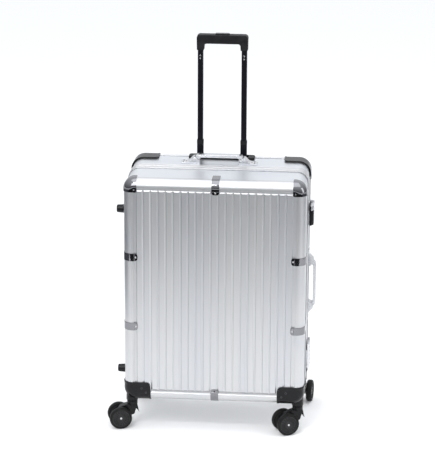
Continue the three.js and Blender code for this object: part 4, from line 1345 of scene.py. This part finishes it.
# %% [markdown]
# ## Pull handle
#
# Two pairs of tubes slide in one another and in a guide inside the case. Each tube is its
# rounded outline pulled upright with both ends left open, and a Solidify modifier gives it
# its wall. The grip is drawn from the front and pulled through, then its edges are rolled
# round. A black bezel with a deep well frames the tubes where they leave the case.

# %% Tubes
TUBE_WALL = 1.1 * MM
INNER_WIDTH, INNER_CORNER = 14 * MM, 4 * MM


def tube_piece(node, body):
    """A drawn tube with open ends; a wider tube has corners rounder by the same amount."""
    low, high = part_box(node)
    radius = INNER_CORNER + (high.x - low.x - INNER_WIDTH) / 2
    outline = rounded_outline((low.x, low.y), (high.x, high.y), radius, 6)
    tube = prism(node + "_drawn", "XY", outline, low.z, high.z)
    edit_mode(tube)
    pick(tube, "FACE", lambda c, n: abs(n.z) > 0.9)
    bpy.ops.mesh.delete(type="FACE")
    object_mode()
    modifier(tube, "SOLIDIFY", thickness=TUBE_WALL, offset=-1)
    return dress(tube, body, tube_black, [node], angle=40)


def lock_pins(side):
    """Two small heads near the top of an inner tube."""
    low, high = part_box(f"inner_tube_{side}")
    middle_x = (low.x + high.x) / 2
    heads = [rivet("lock_pin", (middle_x, low.y, high.z - drop), "front", 2.0 * MM, 0.2 * MM)
             for drop in (38 * MM, 46 * MM)]
    return joined(f"lock_pins_{side}", heads)


def grown_outline(node, grow, radius, steps=6):
    """A node's outline seen from above, grown by a distance on every side."""
    low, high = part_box(node)
    return rounded_outline((low.x - grow, low.y - grow), (high.x + grow, high.y + grow), radius, steps)


def mid_collar(side):
    """The black end of a mid tube, which the inner tube slides in."""
    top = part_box(f"mid_tube_{side}")[1].z
    proud, room = 0.15 * MM, 0.25 * MM
    collar = prism(f"mid_collar_{side}", "XY", grown_outline(f"mid_tube_{side}", proud, 5.5 * MM),
                   top - 9 * MM, top + 0.6 * MM)
    soften(collar, 0.3 * MM, 2, angle=50)
    bore = prism("collar_bore", "XY", grown_outline(f"inner_tube_{side}", room, 4.2 * MM),
                 top - 12 * MM, top + 2 * MM)
    return hollow(collar, bore)


for side in SIDES:
    tube_piece(f"mid_tube_{side}", "mid_stage")
    tube_piece(f"inner_tube_{side}", "inner_stage")
    dress(lock_pins(side), "inner_stage", steel)
    dress(mid_collar(side), "mid_stage", black_plastic, angle=40)
print("four drawn tubes")

# %% Grip and button
def pull_grip():
    """A bar with a socket at each end; the outline is seen from the front."""
    low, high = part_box("pull_grip")
    middle = (low.x + high.x) / 2
    half = (high.x - low.x) / 2
    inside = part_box("inner_tube_right")[0].x - 3 * MM - middle
    underside = high.z - 23 * MM
    crown, throat = 8.5 * MM, 6 * MM
    right = [(inside - throat, underside)]
    right += arc((inside - throat, underside - throat), throat, 90, 0, 6)[1:]
    right += [(inside + 0.6 * MM, low.z + 1.5 * MM), (inside + 1.6 * MM, low.z), (half - 1.8 * MM, low.z),
              (half - 0.6 * MM, low.z + 1.5 * MM)]
    right += [(half, high.z - crown)] + arc((half - crown, high.z - crown), crown, 0, 90, 8)
    left = [(-x, z) for x, z in reversed(right)]
    outline = [(middle + x, z) for x, z in right + left]
    grip = prism("pull_grip_moulding", "XZ", outline, low.y, high.y)
    soften(grip, 3.6 * MM, 5, angle=50)
    seam_z = underside + 6.2 * MM
    seam_half, seam_depth = 0.35 * MM, 0.55 * MM
    for y0, y1 in ((low.y - MM, low.y + seam_depth), (high.y - seam_depth, high.y + MM)):
        hollow(grip, box_piece("seam_groove", (low.x - MM, y0, seam_z - seam_half),
                               (high.x + MM, y1, seam_z + seam_half)))
    room, travel = 0.35 * MM, 3.4 * MM
    hollow(grip, prism("button_pocket", "XY", grown_outline("grip_button", room, 4.2 * MM),
                       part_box("grip_button")[0].z - travel, high.z + MM))
    for side in SIDES:
        tube = f"inner_tube_{side}"
        hollow(grip, prism("tube_socket", "XY", grown_outline(tube, room, 4.2 * MM),
                           low.z - MM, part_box(tube)[1].z + room))
    return grip


def grip_button():
    """The release button, with a shallow dish in its top."""
    low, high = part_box("grip_button")
    button = prism("grip_button_cap", "XY",
                   rounded_outline((low.x, low.y), (high.x, high.y), 4 * MM), low.z, high.z)
    edit_mode(button)
    pick(button, "FACE", lambda c, n: n.z > 0.9)
    bpy.ops.mesh.inset(thickness=2.4 * MM, depth=0)
    bpy.ops.transform.translate(value=(0, 0, -0.5 * MM))
    object_mode()
    return soften(button, 0.6 * MM, 2, angle=25)


dress(pull_grip(), "inner_stage", black_plastic, ["pull_grip"], angle=40)
dress(grip_button(), "grip_button", gloss_black, ["grip_button"], angle=40)
print("grip and button")

# %% Bezel and its well
def handle_bezel():
    """The flange on the case's top and the well below it, which the lowered grip drops into."""
    low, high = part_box("handle_bezel")
    grip_low, grip_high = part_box("pull_grip")
    flange_z = TOP - BAND_FACE + 0.3 * MM
    radius = 7 * MM
    flange = prism("bezel_flange", "XY",
                   rounded_outline((low.x, low.y), (high.x, high.y), radius), flange_z, high.z)
    soften(flange, 1.3 * MM, 3, angle=50)
    room_x, room_y, wall = 3.5 * MM, 1 * MM, 2 * MM
    well_low = (grip_low.x - room_x, grip_low.y - room_y)
    well_high = (grip_high.x + room_x, grip_high.y + room_y)
    cup = prism("bezel_well", "XY", rounded_outline(
        (well_low[0] - wall, well_low[1] - wall), (well_high[0] + wall, well_high[1] + wall), 5 * MM),
        low.z, flange_z + MM)
    for part in (flange, cup):
        hollow(part, prism("well_tool", "XY", rounded_outline(well_low, well_high, 3 * MM),
                           low.z + wall, high.z + MM))
    for side in SIDES:
        hollow(cup, prism("tube_passage", "XY", grown_outline(f"mid_tube_{side}", 0.35 * MM, 5.6 * MM),
                          low.z - MM, low.z + wall + MM))
    return joined("handle_bezel_moulding", [flange, cup])


dress(handle_bezel(), "rear_half", black_plastic, ["handle_bezel"], angle=40)
bezel_low, bezel_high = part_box("handle_bezel")
bezel_middle = (bezel_low.y + bezel_high.y) / 2
bezel_screws = [screw("bezel_screw", (x, bezel_middle, bezel_high.z + 0.3 * MM), "top", 3 * MM)
                for x in (bezel_low.x + 8 * MM, bezel_high.x - 8 * MM)]
dress(joined("bezel_screws", bezel_screws), "rear_half", dark_steel)
for node in ("guide_foot", "guide_tube_left", "guide_tube_right"):
    seen = frame["nodes"][node]
    seen.data.materials.clear()
    seen.data.materials.append(black_plastic if node == "guide_foot" else tube_black)
print("bezel, and the guide inside the case")

# %% [markdown]
# ## Casters
#
# Each caster is a fork that swivels and carries two discs on one axle. The fork is drawn from
# the side as one curved blade with a pointed tail. A disc is a soft tyre round a hard centre;
# both are spun, and thin spokes stand on the centre's face. One caster is made at the origin
# with its axle towards -X, then copied four times and turned as the joints say.

# %% Fork, tyres and discs
FORK_WIDTH, HEAD_RADIUS = 18 * MM, 13.5 * MM
SWIVELS = [(half, side) for half in HALVES for side in SIDES]
first_swivel, first_roll = joint_place("swivel_front_left"), joint_place("roll_front_left")
WHEEL_RADIUS = first_roll.z
TRAIL = math.hypot(first_roll.x - first_swivel.x, first_roll.y - first_swivel.y)
PAIR_HALF = 27 * MM
SPOKES = 18
DISC_INSIDE = FORK_WIDTH / 2 + 3 * MM
print(f"wheel radius {WHEEL_RADIUS:.3f}, trail {TRAIL:.3f}")


def drawn_curve(start, pull, end, steps=6):
    """Points of a smooth curve after its start, drawn towards pull on its way to end."""
    shares = [i / steps for i in range(1, steps + 1)]
    return [tuple((1 - t) ** 2 * Vector(start) + 2 * (1 - t) * t * Vector(pull) + t ** 2 * Vector(end))
            for t in shares]


def fork_blank():
    """The blade that holds the axle, the round head above it and a fin in front."""
    head_low, head_high = 2 * WHEEL_RADIUS + MM, 2 * WHEEL_RADIUS + 12.5 * MM
    tail = (-TRAIL - 16 * MM, WHEEL_RADIUS + 13 * MM)
    top_edge = [(HEAD_RADIUS - 1.5 * MM, head_low + 3 * MM), (-HEAD_RADIUS + 2 * MM, head_low + 3 * MM)]
    bend = drawn_curve(top_edge[-1], (-TRAIL + 1 * MM, head_low + 1 * MM), tail)
    low_side = arc((-TRAIL, WHEEL_RADIUS), 10 * MM, 150, 290, 8)
    front_side = [(HEAD_RADIUS - 9 * MM, WHEEL_RADIUS + 5 * MM), (HEAD_RADIUS - 4 * MM, head_low - 8 * MM)]
    outline = top_edge + bend + low_side + front_side
    blade = prism("fork_blade", "XZ", outline, -FORK_WIDTH / 2, FORK_WIDTH / 2)
    soften(blade, 1.4 * MM, 3, angle=40)
    bore = 5.4 * MM
    hollow(blade, lathe("axle_hole", [(0, -FORK_WIDTH), (bore, -FORK_WIDTH), (bore, FORK_WIDTH),
                                      (0, FORK_WIDTH)], (-TRAIL, 0, WHEEL_RADIUS), "Y", 20))
    rim = 1.2 * MM
    head = lathe("fork_head", [(0, head_low), (HEAD_RADIUS - rim, head_low), (HEAD_RADIUS, head_low + rim),
                               (HEAD_RADIUS, head_high - rim), (HEAD_RADIUS - rim, head_high),
                               (5 * MM, head_high), (5 * MM, BOTTOM - 2.2 * MM), (0, BOTTOM - 2.2 * MM)],
                 (0, 0, 0), "Z", 32)
    fin_view = [(4 * MM, head_low - 6 * MM), (6 * MM, head_low + 2 * MM), (12 * MM, head_low + 2 * MM),
                (14.5 * MM, head_low - 10 * MM), (17.5 * MM, head_low - 22 * MM),
                (12 * MM, head_low - 14 * MM)]
    fin = prism("fork_fin", "XZ", fin_view, -FORK_WIDTH * 0.42, FORK_WIDTH * 0.42)
    return joined("fork_blank", [blade, head, soften(fin, 1 * MM, 2, angle=30)])


print("fork ready")

# %% Tyres and discs
def tyre_blank(side):
    """One tyre, spun about the axle; side is -1 or 1 along Y."""
    rim, round_over, seat = WHEEL_RADIUS, 4.5 * MM, WHEEL_RADIUS * 0.80
    crown = arc((rim - round_over, PAIR_HALF - round_over), round_over, 0, 80, 5)
    back = arc((rim - round_over, DISC_INSIDE + round_over), round_over, -80, 0, 5)
    profile = [(seat, DISC_INSIDE + 0.4 * MM)] + back + crown + [(seat, PAIR_HALF - 0.8 * MM),
                                                                 (seat, DISC_INSIDE + 0.4 * MM)]
    return lathe("tyre_blank", [(r, side * h) for r, h in profile], (-TRAIL, 0, WHEEL_RADIUS), "Y", 48)


def disc_blank(side):
    """The hard centre of one wheel, with a dished face, a hub and a ring of spokes."""
    rim, hub = WHEEL_RADIUS * 0.805, WHEEL_RADIUS * 0.34
    face, dish = PAIR_HALF - 0.9 * MM, PAIR_HALF - 3.1 * MM
    profile = [(5 * MM, DISC_INSIDE), (rim, DISC_INSIDE + 0.5 * MM), (rim, face), (rim - 1.6 * MM, face),
               (rim - 2.4 * MM, dish), (hub + 1.2 * MM, dish), (hub, dish + 1.4 * MM),
               (hub - 0.8 * MM, dish + 1.6 * MM), (hub * 0.62, dish + 1.6 * MM),
               (hub * 0.55, dish + 0.8 * MM), (0, dish + 0.8 * MM), (0, DISC_INSIDE), (5 * MM, DISC_INSIDE)]
    disc = lathe("disc_blank", [(r, side * h) for r, h in profile], (-TRAIL, 0, WHEEL_RADIUS), "Y", 48)
    spokes = []
    near, far, half = hub + 0.8 * MM, rim - 2.2 * MM, 0.7 * MM
    for i in range(SPOKES):
        spoke = box_piece("spoke", (near, side * dish - 0.3 * MM, -half), (far, side * dish + 0.3 * MM, half))
        edit_mode(spoke)
        pick(spoke, "FACE", lambda c, n: n.y * side > 0.9)
        bpy.ops.transform.translate(value=(0, side * 1.2 * MM, 0))
        bpy.ops.transform.resize(value=(1, 1, 0.6))
        object_mode()
        spun = copied(spoke, "spoke", place=(-TRAIL, 0, WHEEL_RADIUS), turn=(0, 360 * i / SPOKES, 0))
        bpy.data.objects.remove(spoke)
        spokes.append(spun)
    return joined("disc_blank", [disc, *spokes])


def axle_blank():
    """A stepped axle, thick inside the fork and thin inside the discs."""
    reach = PAIR_HALF - 2.2 * MM
    end = 0.6 * MM
    profile = [(0, -reach), (2.6 * MM, -reach), (3.2 * MM, -reach + end), (3.2 * MM, -DISC_INSIDE - 2 * MM),
               (5 * MM, -DISC_INSIDE - 2 * MM), (5 * MM, DISC_INSIDE + 2 * MM),
               (3.2 * MM, DISC_INSIDE + 2 * MM), (3.2 * MM, reach - end), (2.6 * MM, reach), (0, reach)]
    return lathe("axle_blank", profile, (-TRAIL, 0, WHEEL_RADIUS), "Y", 24)


print("tyres, discs and axle ready")

# %% Four casters from one
blanks = {"fork": fork_blank(), "tyres": joined("tyres", [tyre_blank(-1), tyre_blank(1)]),
          "discs": joined("discs", [disc_blank(-1), disc_blank(1)]), "axle": axle_blank()}
for half, side in SWIVELS:
    swivel, roll = joint_place(f"swivel_{half}_{side}"), joint_place(f"roll_{half}_{side}")
    turn = math.degrees(math.atan2(swivel.y - roll.y, swivel.x - roll.x))
    place = (swivel.x, swivel.y, 0)
    parts = {key: copied(blank, f"caster_{key}_{half}_{side}", place=place, turn=(0, 0, turn))
             for key, blank in blanks.items()}
    dress(parts["fork"], f"fork_{half}_{side}", gloss_black,
          [f"caster_fork_{half}_{side}"], angle=40)
    dress(parts["tyres"], f"wheels_{half}_{side}", tyre, [f"caster_wheels_{half}_{side}"])
    dress(parts["discs"], f"wheels_{half}_{side}", wheel_disc)
    dress(parts["axle"], f"wheels_{half}_{side}", steel)
for blank in blanks.values():
    bpy.data.objects.remove(blank)
print("four casters")

# %% [markdown]
# ## Lining
#
# Inside, each half is lined with stiff cloth-covered board: a tall wall round the side and a
# floor against the panel. The board is one rounded block, opened on the side that faces the
# other half and given a wall.

# %% Lining trays
def lining_tray(half):
    """One cloth-covered tray, open towards the other half."""
    low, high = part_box(f"{half}_liner")
    rim, floor = (high.y, low.y) if half == "front" else (low.y, high.y)
    inset = low.x - LEFT
    outline = rounded_outline((low.x, low.z), (high.x, high.z), CORNER_RADIUS - inset, 8)
    tray = prism(f"{half}_lining_tray", "XZ", outline, min(rim, floor), max(rim, floor))
    edit_mode(tray)
    pick(tray, "EDGE", lambda c, d: abs(c.y - floor) < WELD and abs(d.y) < 0.1)
    bpy.ops.mesh.bevel(offset=4 * MM, segments=4, affect="EDGES", clamp_overlap=True)
    pick(tray, "FACE", lambda c, n: abs(c.y - rim) < WELD)
    bpy.ops.mesh.delete(type="FACE")
    object_mode()
    modifier(tray, "SOLIDIFY", thickness=1.5 * MM, offset=-1)
    return dress(tray, f"{half}_half", lining_cloth, [f"{half}_liner"], angle=40)


for half in HALVES:
    print(lining_tray(half).name)
